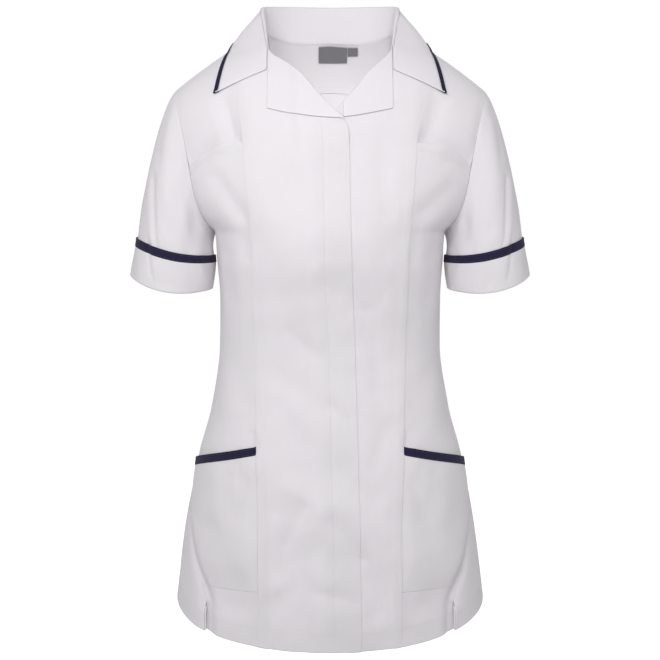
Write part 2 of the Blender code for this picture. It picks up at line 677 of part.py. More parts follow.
def sleeve_points(hand, body, turn_up, count):
    """A grid of points on a sleeve, with columns round it from the top over the front.

    Its rows are shares of the length from the armhole to the cuff, then shares of the cuff's depth.
    """
    angle = np.linspace(0, 2 * math.pi, count, endpoint=False)
    start = armhole_ring(hand, count)
    axis = np.array([hand * math.sin(CUFF_TILT), 0, -math.cos(CUFF_TILT)])
    outward = np.array([hand * math.cos(CUFF_TILT), 0, math.sin(CUFF_TILT)])
    forward = np.array([0, -1.0, 0])
    cos, sin = np.cos(angle)[:, None], np.sin(angle)[:, None]
    dip = np.where(sin > 0, CUFF_DIP[0], CUFF_DIP[1]) * sin**2
    centre = np.array(CUFF_CENTRE) * (hand, 1, 1)
    end = centre + CUFF_HALF[0] * cos * outward + CUFF_HALF[1] * sin * forward + dip * axis
    top = np.abs(np.cos(angle / 2))[:, None]

    def from_underarm(pair, share):
        return pair[0] + (pair[1] - pair[0]) * share

    sideways = from_underarm(SLEEVE_SIDEWAYS, top) * np.array([hand, 0, 0])
    down = from_underarm(SLEEVE_DOWN, top**2) * np.array([0, 0, -1.0])
    direction = sideways + SLEEVE_FORWARD * sin * forward + down
    direction /= np.linalg.norm(direction, axis=1, keepdims=True)
    leave = direction * from_underarm(SLEEVE_LEAVE, top**2)
    arrive = axis * SLEEVE_ARRIVE
    s = np.linspace(0, 1, 61)[:, None, None]
    line = (1 + 2 * s) * (1 - s) ** 2 * start + s * (1 - s) ** 2 * leave
    line = line + s * s * (3 - 2 * s) * end + s * s * (s - 1) * arrive
    step = np.linalg.norm(np.diff(line, axis=0), axis=-1)
    length = np.concatenate([np.zeros((1, count)), np.cumsum(step, axis=0)])
    points = np.empty((len(body) + len(turn_up) - 1, count, 3))
    for j, turn in enumerate(angle):
        cuff = CUFF_DEPTH[0] + (CUFF_DEPTH[1] - CUFF_DEPTH[0]) * (1 + math.cos(turn)) / 2
        cuff += CUFF_DEPTH_FRONT * max(math.sin(turn), 0) ** 2
        total = length[-1, j]
        at = np.concatenate([body * (total - cuff), total - cuff + turn_up[1:] * cuff])
        for k in range(3):
            points[:, j, k] = np.interp(at, length[:, j], line[:, j, k])
    return points


def sleeve(hand):
    """A sleeve, the turned-up cuff outside its end, and the contrast band on top of the cuff."""
    side = "right" if hand == RIGHT else "left"
    band_share = CUFF_BAND / np.mean(CUFF_DEPTH)
    first_row = 0.004  # just clear of the armhole's edge
    body = np.concatenate([[first_row], np.linspace(0.08, 1, 6)])
    turn_up = np.array([0, band_share, (1 + band_share) / 2, 1])
    points = sleeve_points(hand, body, turn_up, SLEEVE_COLUMNS)
    normal = grid_normals(points, tube=True) * hand
    wall(f"sleeve_{side}", points, points - normal * CLOTH, WHITE, tube=True)
    lifted, under = points + normal * LAYER, points + normal * (LAYER - CLOTH)
    wall(f"cuff_{side}", lifted[-3:], under[-3:], WHITE, tube=True)
    gap = np.array([[[0.0]], [[2 * SEAM / CUFF_BAND]]])
    band, band_under = (grid[-4:-2] * (1 - gap) + grid[-4] * gap for grid in (lifted, under))
    wall(f"cuff_band_{side}", band, band_under, NAVY, tube=True)


def body_tree():
    """The outer form as a tree that finds its nearest point, for what lies on it."""
    vertices, faces = [], []
    rows, columns = 60, 30
    level = np.linspace(UNDERARM_LEVEL - 0.1, 1, rows)[:, None]
    for hand in (RIGHT, LEFT):
        for face in (FRONT, BACK):
            edge = edge_turn(face, level)
            turn = edge + (math.pi / 2 - edge) * np.linspace(0, 1, columns)[None, :]
            points = plain_form(hand, face, turn, np.repeat(level, columns, axis=1))
            base = len(vertices)
            vertices += [Vector(p) for p in points.reshape(-1, 3)]
            for i in range(rows - 1):
                for j in range(columns - 1):
                    a = base + i * columns + j
                    faces.append([a, a + 1, a + columns + 1, a + columns])
    return BVHTree.FromPolygons(vertices, faces)


def rest_on(tree, points, clearance):
    """Moves each point out until it is at least clearance outside the form."""
    moved = points.copy()
    for index in np.ndindex(points.shape[:-1]):
        point = Vector(moved[index])
        near, _, _, _ = tree.find_nearest(point)
        within = Vector((near.x * 0.6, near.y * 0.2, -0.16))
        outward = (near - within).normalized()
        offset = point - near
        distance = offset.length * (1 if offset.dot(outward) > 0 else -1)
        if distance < clearance:
            direction = offset.normalized() * (1 if distance > 0 else -1) if offset.length > 1e-5 else outward
            moved[index] = near + direction * clearance
    return moved


def collar_section(fold, outer_line, neck, roll):
    """One section of the collar: up the stand, over the fold and down the leaf."""
    up = np.array([0, 0, 1.0])
    out = outer_line[1] - fold
    out = out - up * out.dot(up)
    out /= np.linalg.norm(out)
    centre = fold - up * roll
    turns = np.radians([180, 135, 90, 45, 10])
    arc = [centre + roll * (math.cos(a) * out + math.sin(a) * up) for a in turns]
    stand = [neck, (neck + arc[0]) / 2]
    return np.array(stand + arc + list(outer_line[1:]))


def collar_lines(hand_points):
    """A line given on the wearer's left, mirrored and joined to run from the right front to the left."""
    left = np.asarray(hand_points, float)
    right = left * (-1, 1, 1)
    return np.concatenate([right, left[-2::-1]])


def neck_seam_points(count):
    """The seam line under the collar, from the right front round the back to the left front."""
    front_level = np.linspace(float(level_at(LEFT, FRONT, *GORGE)), 1, 30)
    x = spline(front_level, [front_level[0], 1], [GORGE[0], NECK_POINT])
    front = plain_form(LEFT, FRONT, turn_at(LEFT, FRONT, front_level, x), front_level)
    back_x = np.linspace(NECK_POINT, 0, 40)[1:]
    back_level = back_neck_level(back_x)
    back = plain_form(LEFT, BACK, turn_at(LEFT, BACK, back_level, back_x), back_level)
    line = collar_lines(np.concatenate([front, back]))
    length = running_length(line)
    at = np.linspace(0, length[-1], count)
    return np.stack([np.interp(at, length, line[:, k]) for k in range(3)], axis=-1)


def collar():
    """The collar with its contrast edge, folded over and lying on the shoulders."""
    count = 31
    at = np.linspace(0, 1, count)
    fold = curve_3d(at, collar_lines(COLLAR_FOLD))
    outer = curve_3d(at, collar_lines(COLLAR_OUTER))
    neck = neck_seam_points(count)
    tree = body_tree()
    along = np.linspace(0, 1, 7)
    before_notch = (along < COLLAR_NOTCH_SHARE)[:, None]
    to_notch = (along / COLLAR_NOTCH_SHARE)[:, None]
    past_notch = ((along - COLLAR_NOTCH_SHARE) / (1 - COLLAR_NOTCH_SHARE))[:, None]
    bulge = COLLAR_SWELL * np.sin(along * math.pi)[:, None]
    sections = []
    for i in range(count):
        side = LEFT if at[i] > 0.5 else RIGHT
        from_end = min(at[i], 1 - at[i]) * 2
        straight = fold[i] + (outer[i] - fold[i]) * along[:, None]
        notch = np.array(COLLAR_NOTCH) * (side, 1, 1)
        above = fold[i] + (notch - fold[i]) * to_notch
        below = notch + (outer[i] - notch) * past_notch
        corner = np.where(before_notch, above, below)
        pull = float(1 - smooth_step(from_end, 0.0, COLLAR_END))
        swell = bulge * np.array([0.5 * side, 0.0, 1.0]) * (1 - pull)
        line = straight * (1 - pull) + corner * pull + swell
        stand = neck[i] + np.array([0, 0, CLOTH + SEAM])
        roll_end, roll_back = COLLAR_ROLL
        roll = roll_end + (roll_back - roll_end) * float(smooth_step(from_end, 0.0, 0.5))
        sections.append(collar_section(fold[i], line, stand, roll))
    grid = np.array(sections).transpose(1, 0, 2)
    leaf_row = 7  # the rows below this one are the stand and the fold
    grid[leaf_row:] = rest_on(tree, grid[leaf_row:], CLOTH + COLLAR_CLEARANCE)
    normal = grid_normals(grid, tube=False)
    if normal[-3, count // 2, 1] < 0:
        normal = -normal
    inwards = grid[-2] - grid[-1]
    inwards /= np.linalg.norm(inwards, axis=-1)[:, None]
    trim_start = grid[-1] + inwards * COLLAR_TRIM
    leaf = np.concatenate([grid[:-1], (trim_start + inwards * SEAM)[None]])
    wall("collar", leaf, leaf - normal * CLOTH, WHITE)
    trim = np.stack([trim_start, grid[-1]])
    wall("collar_trim", trim, trim - normal[-1] * CLOTH, NAVY)


def lapel_bottom(own_x):
    """Z of a lapel's lower edge."""
    share = np.clip((LAPEL_SIDE_X - own_x) / (LAPEL_SIDE_X + LAPEL_END_X), 0, 1)
    return LAPEL_CORNER_Z + (LAPEL_LOW_Z - LAPEL_CORNER_Z) * np.sin(share * math.pi / 2)


def lapel(hand):
    """A square-cornered lapel that lies on its front and rolls over the front's neck edge."""
    end_x = LAPEL_LEAST - LAPEL_END_X if hand == RIGHT else LAPEL_END_X
    roll = np.array(ROLL_RIGHT if hand == RIGHT else ROLL_LEFT)
    own_x = np.linspace(LAPEL_SIDE_X - SEAM, end_x, 11)
    top_z = spline(own_x, roll[:, 0], roll[:, 1])
    low_z = np.minimum(lapel_bottom(own_x), top_z - LAPEL_LEAST)
    top_level = level_at(hand, FRONT, own_x, top_z)
    low_level = level_at(hand, FRONT, own_x, low_z)
    level = low_level + (top_level - low_level) * np.linspace(0, 1, 6)[:, None]
    turn = turn_at(hand, FRONT, level, np.repeat(own_x[None, :], 6, axis=0))
    base = plain_form(hand, FRONT, turn, level)
    lift = overlap_lift(hand, base[..., 0], base[..., 2]) + LAYER + LOOSE
    outer, normal = form(hand, FRONT, turn, level, lift)
    side = "right" if hand == RIGHT else "left"
    return wall(f"lapel_{side}", outer, outer - normal * CLOTH, WHITE)


def main():
    for obj in list(bpy.data.objects):
        bpy.data.objects.remove(obj)
    for hand in (RIGHT, LEFT):
        front_panel(hand)
        seam_levels = side_front(hand)
        lapel(hand)
        sleeve(hand)
    back_pieces(seam_levels)
    collar()


main()
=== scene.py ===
# %% [markdown]
# # A medical tunic, dressed piece by piece
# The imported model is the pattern: plain thick walls that are true in size and place. This lesson
# sews the real thing over it. Each wall gives way to a thin cloth of the same name with turned
# edges, seams, creases and stitches, and then the cloth gets its weave and the light.

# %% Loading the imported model
import math
from collections import namedtuple

import bpy
import numpy as np
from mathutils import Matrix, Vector
from mathutils.bvhtree import BVHTree


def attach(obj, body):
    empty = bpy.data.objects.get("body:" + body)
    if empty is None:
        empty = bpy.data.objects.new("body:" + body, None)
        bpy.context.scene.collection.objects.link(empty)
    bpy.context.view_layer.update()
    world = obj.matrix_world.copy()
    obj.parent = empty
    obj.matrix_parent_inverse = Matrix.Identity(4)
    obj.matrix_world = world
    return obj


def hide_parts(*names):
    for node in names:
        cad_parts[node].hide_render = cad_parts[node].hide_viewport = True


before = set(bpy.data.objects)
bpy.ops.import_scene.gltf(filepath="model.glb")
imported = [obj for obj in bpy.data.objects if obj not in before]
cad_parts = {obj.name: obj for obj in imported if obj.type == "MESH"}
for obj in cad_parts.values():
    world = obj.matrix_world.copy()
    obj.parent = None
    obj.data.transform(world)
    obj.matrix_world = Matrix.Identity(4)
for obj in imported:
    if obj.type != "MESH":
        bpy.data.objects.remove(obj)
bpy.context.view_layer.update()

print("walls to dress:", len(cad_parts))

# %% [markdown]
# ## Camera first
# The tunic was photographed straight from the front with a long lens, a little from above. The
# frame is square, so one angle of view serves both ways. The camera stands level with the chest,
# which fixes how much of the inside of the neck can be seen.

# %% The camera
CAMERA_PLACE = Vector((0.0, -2.0, -0.200))
CAMERA_LOOKS_AT = Vector((0.0, 0.0, -0.348))
FRAME_HALF = 0.396  # metres from the middle of the frame to its side, where the camera looks

camera = bpy.data.objects.new("camera", bpy.data.cameras.new("camera"))
bpy.context.scene.collection.objects.link(camera)
bpy.context.scene.camera = camera
camera.location = CAMERA_PLACE
line_of_sight = CAMERA_LOOKS_AT - CAMERA_PLACE
camera.rotation_euler = line_of_sight.to_track_quat("-Z", "Y").to_euler()
camera.data.angle = 2 * math.atan(FRAME_HALF / line_of_sight.length)
print("angle of view:", round(math.degrees(camera.data.angle), 2), "degrees")

# %% [markdown]
# ## Smooth curves
# A tunic is drafted with a few measurements and a flexible ruler. A spline that never swings past
# its own values is that ruler: it joins a short table of sizes without adding bumps.


# %% Steps, splines and lengths
def smooth_step(x, low, high):
    share = np.clip((np.asarray(x, float) - low) / (high - low), 0.0, 1.0)
    return share * share * (3 - 2 * share)


def bell(x, width):
    """1 in the middle, falling softly to nothing on both sides."""
    return np.exp(-((x / width) ** 2))


def unit(vectors):
    return vectors / np.linalg.norm(vectors, axis=-1, keepdims=True)


def smooth_join(s, start, leave, end, arrive):
    """A smooth curve at shares s, which leaves its start and arrives at its end as it is told."""
    first = (1 + 2 * s) * (1 - s) ** 2 * start + s * (1 - s) ** 2 * leave
    return first + s * s * (3 - 2 * s) * end + s * s * (s - 1) * arrive


def spline(at, knots, values):
    """A smooth curve through the values that never swings past them."""
    knots, values = np.asarray(knots, float), np.asarray(values, float)
    step = np.diff(knots)
    slope = np.diff(values) / step
    tangent = np.zeros(len(knots))
    same = slope[:-1] * slope[1:] > 0
    weight_low, weight_high = 2 * step[1:] + step[:-1], step[1:] + 2 * step[:-1]
    below, above = np.where(same, slope[:-1], 1.0), np.where(same, slope[1:], 1.0)
    mean = (weight_low + weight_high) / (weight_low / below + weight_high / above)
    tangent[1:-1] = np.where(same, mean, 0.0)
    tangent[0], tangent[-1] = slope[0], slope[-1]
    at = np.clip(np.asarray(at, float), knots[0], knots[-1])
    i = np.clip(np.searchsorted(knots, at, side="right") - 1, 0, len(step) - 1)
    s = (at - knots[i]) / step[i]
    return smooth_join(s, values[i], step[i] * tangent[i], values[i + 1], step[i] * tangent[i + 1])


def running_length(points, axis=0):
    """The length along a line of points, or along each line of a grid, up to each point."""
    points = np.moveaxis(np.asarray(points, float), axis, 0)
    step = np.linalg.norm(np.diff(points, axis=0), axis=-1)
    return np.moveaxis(np.concatenate([0 * step[:1], np.cumsum(step, axis=0)]), 0, axis)


def points_at(distance, length, line):
    """Points of a line at distances along it. length is the distance to each of its own points."""
    return np.stack([np.interp(distance, length, line[:, k]) for k in range(3)], axis=-1)


def resample(line, count, closed=False):
    """Points at equal steps along a line."""
    length = running_length(line)
    return points_at(np.linspace(0, length[-1], count, endpoint=not closed), length, line)


# %% [markdown]
# ## The form under the cloth
# A fitter would pin the cloth to a form. Here the form is a stack of rounded sections, the same
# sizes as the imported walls: a level from 0 at the hem to 1 on the shoulder, and an angle that is 0
# at the side seam and a right angle at the centre. Any place on the tunic is an angle and a level,
# so seams, pockets and folds can all be drawn on it.

# %% Sections of the form
RIGHT, LEFT = -1, 1  # the wearer's sides, as signs of X
FRONT, BACK = -1, 1  # as signs of Y
Section = namedtuple("Section", "z_edge z_front z_back half_width front back square edge_front edge_back")
SECTIONS = [
    Section(-0.667, -0.7065, -0.682, 0.1852, 0.1290, 0.1190, 2.15, 0, 0),
    Section(-0.582, -0.603, -0.589, 0.1745, 0.1270, 0.1170, 2.20, 0, 0),
    Section(-0.492, -0.500, -0.496, 0.1565, 0.1150, 0.1070, 2.30, 0, 0),
    Section(-0.438, -0.442, -0.440, 0.1420, 0.1050, 0.0960, 2.30, 0, 0),
    Section(-0.366, -0.366, -0.366, 0.1317, 0.0970, 0.0840, 2.30, 0, 0),
    Section(-0.307, -0.307, -0.307, 0.1314, 0.1060, 0.0850, 2.30, 0, 0),
    Section(-0.262, -0.262, -0.262, 0.1345, 0.1180, 0.0900, 2.30, 0, 0),
    Section(-0.232, -0.232, -0.232, 0.1370, 0.1200, 0.0940, 2.30, 0, 0),
    Section(-0.224, -0.2205, -0.222, 0.1425, 0.1192, 0.0945, 2.30, 0.150, 0.150),
    Section(-0.2125, -0.2025, -0.207, 0.1495, 0.1175, 0.0955, 2.30, 0.272, 0.285),
    Section(-0.190, -0.168, -0.178, 0.1575, 0.1120, 0.0975, 2.30, 0.393, 0.420),
    Section(-0.157, -0.120, -0.137, 0.1636, 0.1025, 0.0990, 2.30, 0.488, 0.480),
    Section(-0.1317, -0.083, -0.102, 0.1680, 0.0930, 0.0965, 2.30, 0.527, 0.500),
    Section(-0.100, -0.036, -0.052, 0.1750, 0.0750, 0.0850, 2.30, 0.560, 0.500),
    Section(-0.080, -0.003, -0.009, 0.1805, 0.0520, 0.0620, 2.30, 0.558, 0.470),
    Section(-0.0690, 0.019, 0.018, 0.1832, 0.0270, 0.0340, 2.30, 0.537, 0.450),
    Section(-0.0642, 0.031, 0.031, 0.1840, 0.0000, 0.0000, 2.30, 0.530, 0.440),
]
UNDERARM = 7  # the section at the bottom of the armhole
SHOULDER_POWER = 1.6
HEM_POWER = 1.1
SHOULDER_LEVEL = 1 - 0.0004

SECTION_LENGTHS = running_length([(s.z_front, s.front) for s in SECTIONS])
FORM_LENGTH = SECTION_LENGTHS[-1]
LEVELS = SECTION_LENGTHS / FORM_LENGTH
UNDERARM_LEVEL = LEVELS[UNDERARM]
SHOULDER_STARTS = (UNDERARM_LEVEL - 0.04, UNDERARM_LEVEL + 0.02)  # levels where the body gives way to it


def column(name, level):
    return spline(level, LEVELS, [getattr(s, name) for s in SECTIONS])


def edge_share(face, level):
    return column("edge_front" if face == FRONT else "edge_back", level)


def edge_turn(face, level):
    """The angle at which a section ends at its side seam or armhole."""
    share, square = edge_share(face, level), column("square", level)
    return np.arctan2(share, (1 - share**square) ** (1 / square))


def plain_form(hand, face, turn, level):
    """Points on the form with no folds, at an angle round the section and a level up it."""
    square = column("square", level)
    front = face == FRONT
    share = edge_share(face, level)
    depth = column("front" if front else "back", level)
    z_centre = column("z_front" if front else "z_back", level)
    z_edge, half_width = column("z_edge", level), column("half_width", level)
    cos, sin = np.cos(turn), np.sin(turn)
    size = (np.abs(cos) ** square + np.abs(sin) ** square) ** (-1 / square)
    x = half_width / (1 - share**square) ** (1 / square) * size * cos
    out = size * sin
    across = 1 - np.minimum(np.abs(x) / half_width, 1.0) ** SHOULDER_POWER
    below = 1 - smooth_step(level, *SHOULDER_STARTS)
    round_side = np.maximum((out - share) / (1 - share), 0) ** HEM_POWER
    rise = below * round_side + (1 - below) * across
    z = z_edge + (z_centre - z_edge) * rise
    return np.stack([hand * x, face * depth * out, z], axis=-1)


print("length up the front:", round(FORM_LENGTH, 3), "m")

# %% [markdown]
# ## The side seam, the vent and the valley
# Near the hem the side seam swings forward and opens in a short vent. The front dips into a valley
# beside the seam there, because the back's corner rides over it. These are the deepest folds of
# the tunic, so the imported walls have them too, with the same numbers.

# %% Side seam and vent
SIDE_SWING = [  # (Z, degrees round the section)
    (-0.664, 39.5), (-0.640, 38.0), (-0.612, 31.0), (-0.582, 23.0), (-0.545, 14.0), (-0.505, 6.0),
    (-0.455, 0.0),
]
VENT_HEIGHT = 0.031
VENT_UNDERLAP = 0.012
VENT_FLAP = 0.0010
VENT_FLAP_REACH = (-0.060, -0.010)  # from the seam, where the back begins to ride over the front
VALLEY_DEPTH = 0.0055
VALLEY_Z = (-0.632, -0.540)
VALLEY_OFFSET = 0.0060
VALLEY_WIDTH = 0.0110
VENT_LEVEL = VENT_HEIGHT / (SECTIONS[1].z_edge - SECTIONS[0].z_edge) * LEVELS[1]


def side_swing(level):
    """The angle by which the side seam swings forward."""
    z, degrees = np.array(SIDE_SWING).T
    return np.radians(spline(column("z_edge", level), z, degrees))


def vent_share(level):
    """0 from the top of the vent upwards, 1 at the hem."""
    return np.clip(1 - np.asarray(level) / VENT_LEVEL, 0, 1)


def side_fold(face, front_turn, level):
    """How far the cloth stands out beside the side seam, negative where it dips. On the back too,
    front_turn is the angle that the front would have there."""
    from_seam = (front_turn - side_swing(level)) * column("half_width", level)
    beside = bell(from_seam - VALLEY_OFFSET, VALLEY_WIDTH)
    depth = VALLEY_DEPTH * (1 - smooth_step(column("z_edge", level), *VALLEY_Z))
    vent = vent_share(level)
    if face == BACK:
        raised = smooth_step(vent, 0, 0.5)
        near = smooth_step(from_seam, *VENT_FLAP_REACH)
        return near * VENT_FLAP * raised - depth * beside * (1 - raised)
    held = smooth_step(vent, 0, 0.3) * (from_seam < VALLEY_OFFSET)
    return -depth * (beside + (1 - beside) * held)


# %% [markdown]
# ## Creases, placed one by one
# Polyester and cotton cloth on a worn tunic isn't crumpled. It has a few long soft troughs where it
# is pulled, at the armhole, under the bust and in the skirt, and small sharp ones where it is held,
# under a pocket band or a cuff. Each is one row: where it starts and ends, how wide and how deep.
# A negative depth is a ridge. The first list has the large folds, which the imported walls have too.

# %% Creases on the body
BOTH = (RIGHT, LEFT)
# sides, face, then rows in millimetres: X and Z of both ends, half width and depth
LARGE_FOLDS = [
    (BOTH, FRONT, [
        (124, -78, 111, -120, 13, 2.6), (123, -256, 116, -305, 11, 2), (99, -520, 115, -580, 13, 1.8),
    ]),
    ([RIGHT], FRONT, [(34.5, -540, 55, -592, 15, 2.5)]),
    ([LEFT], FRONT, [(70, -560, 64, -640, 16, 2.2)]),
    ([RIGHT], BACK, [(42, -500, 33, -680, 22, 3.5), (118, -540, 127, -650, 18, 2.8)]),
    ([LEFT], BACK, [(30, -520, 40, -670, 23, 3.2), (115, -520, 123, -660, 19, 3)]),
]
CREASES = [
    ([RIGHT], FRONT, [
        (123.5, -80, 108.5, -127, 7, 2.1), (140, -85, 126, -126, 9, -1.3),
        (158.8, -159, 138.9, -139, 6, 1.8), (131, -168, 104, -207, 10, 4.2),
        (121, -206, 101, -229, 7.5, -1.4), (99, -216, 94.5, -258, 5.5, 1.7),
        (135, -224, 122.8, -256, 8.5, 3.6), (124, -256, 115, -306, 8.5, 1.8),
        (107.5, -272, 104, -350, 10, -0.8), (113, -380, 100, -425, 10, 1.8),
        (15, -590, 60, -612, 16, 3.4), (50, -520, 10, -545, 15, -2.8), (60, -395, 15, -430, 15, 2.4),
        (140, -570, 115, -620, 14, 2.2), (30.7, -543, 51.2, -583, 7, 2.1),
        (30, -628, 64, -654, 12, 1.4), (64, -560, 60, -632, 9, -1.9), (45, -345, 18, -368, 9.5, 1.6),
        (56, -430, 35, -470, 11, 1.9), (45, -160, 60, -200, 11, 1.5),
    ]),
    ([LEFT], FRONT, [
        (127, -86, 110, -124, 8.5, 1.8), (161, -164, 137, -146, 7.5, 2),
        (138, -178, 106, -208, 10.5, 3.8), (124, -213, 101, -238, 8.5, -1.2),
        (99, -236, 95, -268, 6, 1.5), (135, -232, 119, -262, 8.5, 3.4), (122, -278, 113, -316, 8, 1.5),
        (109, -300, 105, -360, 10, -1), (117, -395, 99, -428, 11, 1.6), (10, -500, 48, -535, 17, 3.4),
        (65, -545, 68, -600, 11, -1.8), (105, -560, 130, -610, 13, 2.4), (2, -556, 31, -596, 12, 2.2),
        (41, -604, 56, -662, 9.5, 2.4), (-13.6, -638, 29.6, -649, 9, 1.7),
        (42.2, -321, 57.3, -407, 11, 2.3), (0, -428, 14.8, -443, 7.5, 1.9),
        (64, -455, 50, -500, 10, 1.8), (60, -150, 66, -205, 11, 1.6),
    ]),
    (BOTH, FRONT, [
        (123, -400, 118, -455, 10, -1.3), (120.3, -498, 113, -513, 3.4, 1.6),
        (105.9, -498, 98.7, -515, 3.6, 1.9), (114, -503, 106, -536, 4.5, -1.4),
        (96.3, -524, 107.9, -559, 6, 1.8), (161, -546, 157.5, -561, 4.5, 1.9),
        (133, -512, 129, -560, 9, -1.8), (145, -650, 105, -660, 15, 2.2), (87, -480, 90, -462, 5, 2.1),
    ]),
    ([RIGHT], BACK, [
        (135, -140, 90, -190, 10, 3.3), (130, -230, 95, -262, 8.5, 3.3), (40, -330, -30, -346, 11, 3),
        (100, -372, 20, -392, 10, 2.7), (80, -430, 85, -540, 14, -1.9),
    ]),
    ([LEFT], BACK, [
        (133, -150, 93, -183, 9.5, 3.2), (128, -238, 88, -280, 9, 2.9),
        (105, -355, 45, -368, 9.5, 2.7), (20, -300, 60, -318, 8.5, -1.8),
        (80, -420, 76, -520, 13, 2.3), (30, -75, -30, -78, 14, 2.4),
    ]),
]


def stroke(x, y, run_x, run_y, half_width):
    """1 along the line from (0, 0) to (run_x, run_y), falling softly to its sides and its ends."""
    along = np.clip((x * run_x + y * run_y) / (run_x**2 + run_y**2), 0, 1)
    return bell(np.hypot(x - run_x * along, y - run_y * along), half_width)


def crease_height(face, x, z):
    """How far the cloth stands out of the form, negative in a trough."""
    height = np.zeros(np.shape(x))
    for hands, own_face, rows in LARGE_FOLDS + CREASES:
        if own_face != face:
            continue
        for x_top, z_top, x_low, z_low, half_width, depth in np.array(rows) / 1000:
            run = x_low - x_top, z_low - z_top
            for hand in hands:
                height -= depth * stroke(hand * x - x_top, z - z_top, *run, half_width)
    return height


HILLS = [(0.0015, 0.075, 4), (0.0003, 0.036, 5)]  # height, size and seed
HILL_WAVES = 7
HILL_STRETCH = (0.6, 1.5)
NECK_HOLDS = (-0.120, -0.050)  # the heights between which the neck begins to hold the cloth
NECK_CALM = 0.9


def ripple(a, b, size, seed):
    """A smooth uneven surface, about -1 to 1, whose bumps are about this size."""
    random = np.random.default_rng(seed)
    total = np.zeros(np.broadcast(a, b).shape)
    for _ in range(HILL_WAVES):
        way, phase = random.uniform(0, 2 * math.pi), random.uniform(0, 2 * math.pi)
        wave = size * random.uniform(*HILL_STRETCH)
        total += np.sin((a * math.cos(way) + b * math.sin(way)) * 2 * math.pi / wave + phase)
    return total / 3


def unevenness(x, z):
    """The low hills that any cloth has, flatter where it is held round the neck."""
    free = 1 - NECK_CALM * smooth_step(z, *NECK_HOLDS)
    return free * sum(height * ripple(x, z, size, seed) for height, size, seed in HILLS)


print("creases drawn by hand:", sum(len(rows) for _, _, rows in LARGE_FOLDS + CREASES))


# %% [markdown]
# ## From an angle and a level to cloth
# This is the step that puts everything so far together: a point of the form, pushed out or in
# along the form's own normal by the folds and creases there. The back may run on past the side
# line, because the side seam swings forward over it.


# %% Cloth on the form
TINY = 1e-4  # a step of an angle or a level, to measure a slope with
CREASES_START = 0.010  # creases grow over this distance from the side seam and the armhole
CALM_SIDES = 0.85  # how much flatter they are where the form turns away, so its outline is smooth


def form(hand, face, turn, level, lift=0.0):
    """(points, normals) of cloth with its creases on the form, moved out by lift."""
    turn, level = np.broadcast_arrays(np.asarray(turn, float), np.asarray(level, float))

    def at(turn, level):
        wrapped = (turn < 0) | (turn > math.pi)
        own = plain_form(hand, face, turn, level)
        other = plain_form(hand, -face, np.where(turn < 0, -turn, 2 * math.pi - turn), level)
        return np.where(wrapped[..., None], other, own)

    middle = at(turn, level)
    low, high = np.maximum(level - TINY, 0), np.minimum(level + TINY, 1)
    along = at(turn, high) - at(turn, low)
    normal = unit(np.cross(at(turn + TINY, level) - at(turn - TINY, level), along) * (hand * face))
    if face == FRONT:
        front_turn = turn
    else:
        front_turn = np.where(turn > math.pi / 2, turn - math.pi, -turn)
    x, z = middle[..., 0], middle[..., 2]
    from_edge = np.minimum(turn, math.pi - turn) - edge_turn(face, level) + face * side_swing(level)
    fade = smooth_step(from_edge * column("half_width", level), 0, CREASES_START)
    fade = fade * (1 - CALM_SIDES * normal[..., 0] ** 2)
    height = side_fold(face, front_turn, level) + fade * (crease_height(face, x, z) + unevenness(x, z))
    return middle + normal * (height + np.asarray(lift))[..., None], normal


def turn_at(face, level, own_x):
    """The angle at which a section passes X, measured towards the piece's own side."""
    square, share = column("square", level), edge_share(face, level)
    across = own_x / column("half_width", level) * (1 - share**square) ** (1 / square)
    across = np.clip(across, -0.99999, 0.99999)
    return np.arctan2((1 - np.abs(across) ** square) ** (1 / square), across)


def level_where(face, turn_of, z):
    """The level at which a line, whose angle depends on the level, passes the height Z."""
    low, high = np.zeros(np.shape(z)), np.ones(np.shape(z))
    for _ in range(34):
        middle = (low + high) / 2
        under = plain_form(LEFT, face, turn_of(middle), middle)[..., 2] < z
        low, high = np.where(under, middle, low), np.where(under, high, middle)
    return (low + high) / 2


def level_at(face, own_x, z):
    """The level at which the form passes (X, Z)."""
    own_x, z = np.broadcast_arrays(np.asarray(own_x, float), np.asarray(z, float))
    return level_where(face, lambda level: turn_at(face, level, own_x), z)


def seam_turn(face, line, level):
    """The angle of a seam line, given as (X, Z) points, at each level."""
    x_of, z_of = np.array(line).T
    order = np.argsort(z_of)
    z = np.asarray(column("z_front", level), float)
    for _ in range(4):
        x = spline(z, z_of[order], x_of[order])
        turn = turn_at(face, level, x)
        z = plain_form(LEFT, face, turn, level)[..., 2]
    return turn


def turn_per_metre(face, turn, level):
    """How much the angle changes along a metre of the section."""
    step = plain_form(LEFT, face, turn + TINY, level) - plain_form(LEFT, face, turn, level)
    return TINY / np.linalg.norm(step, axis=-1)


# %% [markdown]
# ## Turned edges
# Woven cloth frays, so no edge of a real tunic is left raw. At a seam the allowance is folded back
# inside, and at a hem the cloth goes round and is stitched down. That fold is what draws a seam or
# a hem in a photograph: two soft round edges with a groove between them. So every panel here is
# longer than it looks, and runs round its edge and back inside.

# %% Edges and shells
CLOTH = 0.0005  # one layer
TURN = 2 * CLOTH + 0.0001  # over two layers that are folded together
SEAM_DEPTH = 0.009  # how wide the allowance inside a seam is
HEM_DEPTH = 0.020
FINE = 0.003  # distance between rows of a mesh
EDGE_STEPS = np.array([0.0004, 0.0010, 0.0019, 0.0032])  # closer rows beside an edge


def steps(length, fine=FINE):
    """Shares along a length: close together at both ends, evenly spaced between."""
    ends = EDGE_STEPS / length
    count = max(int((length - 2 * EDGE_STEPS[-1]) / fine), 2)
    middle = np.linspace(ends[-1], 1 - ends[-1], count + 1)[1:-1]
    return np.concatenate([[0], ends, middle, 1 - ends[::-1], [1]])


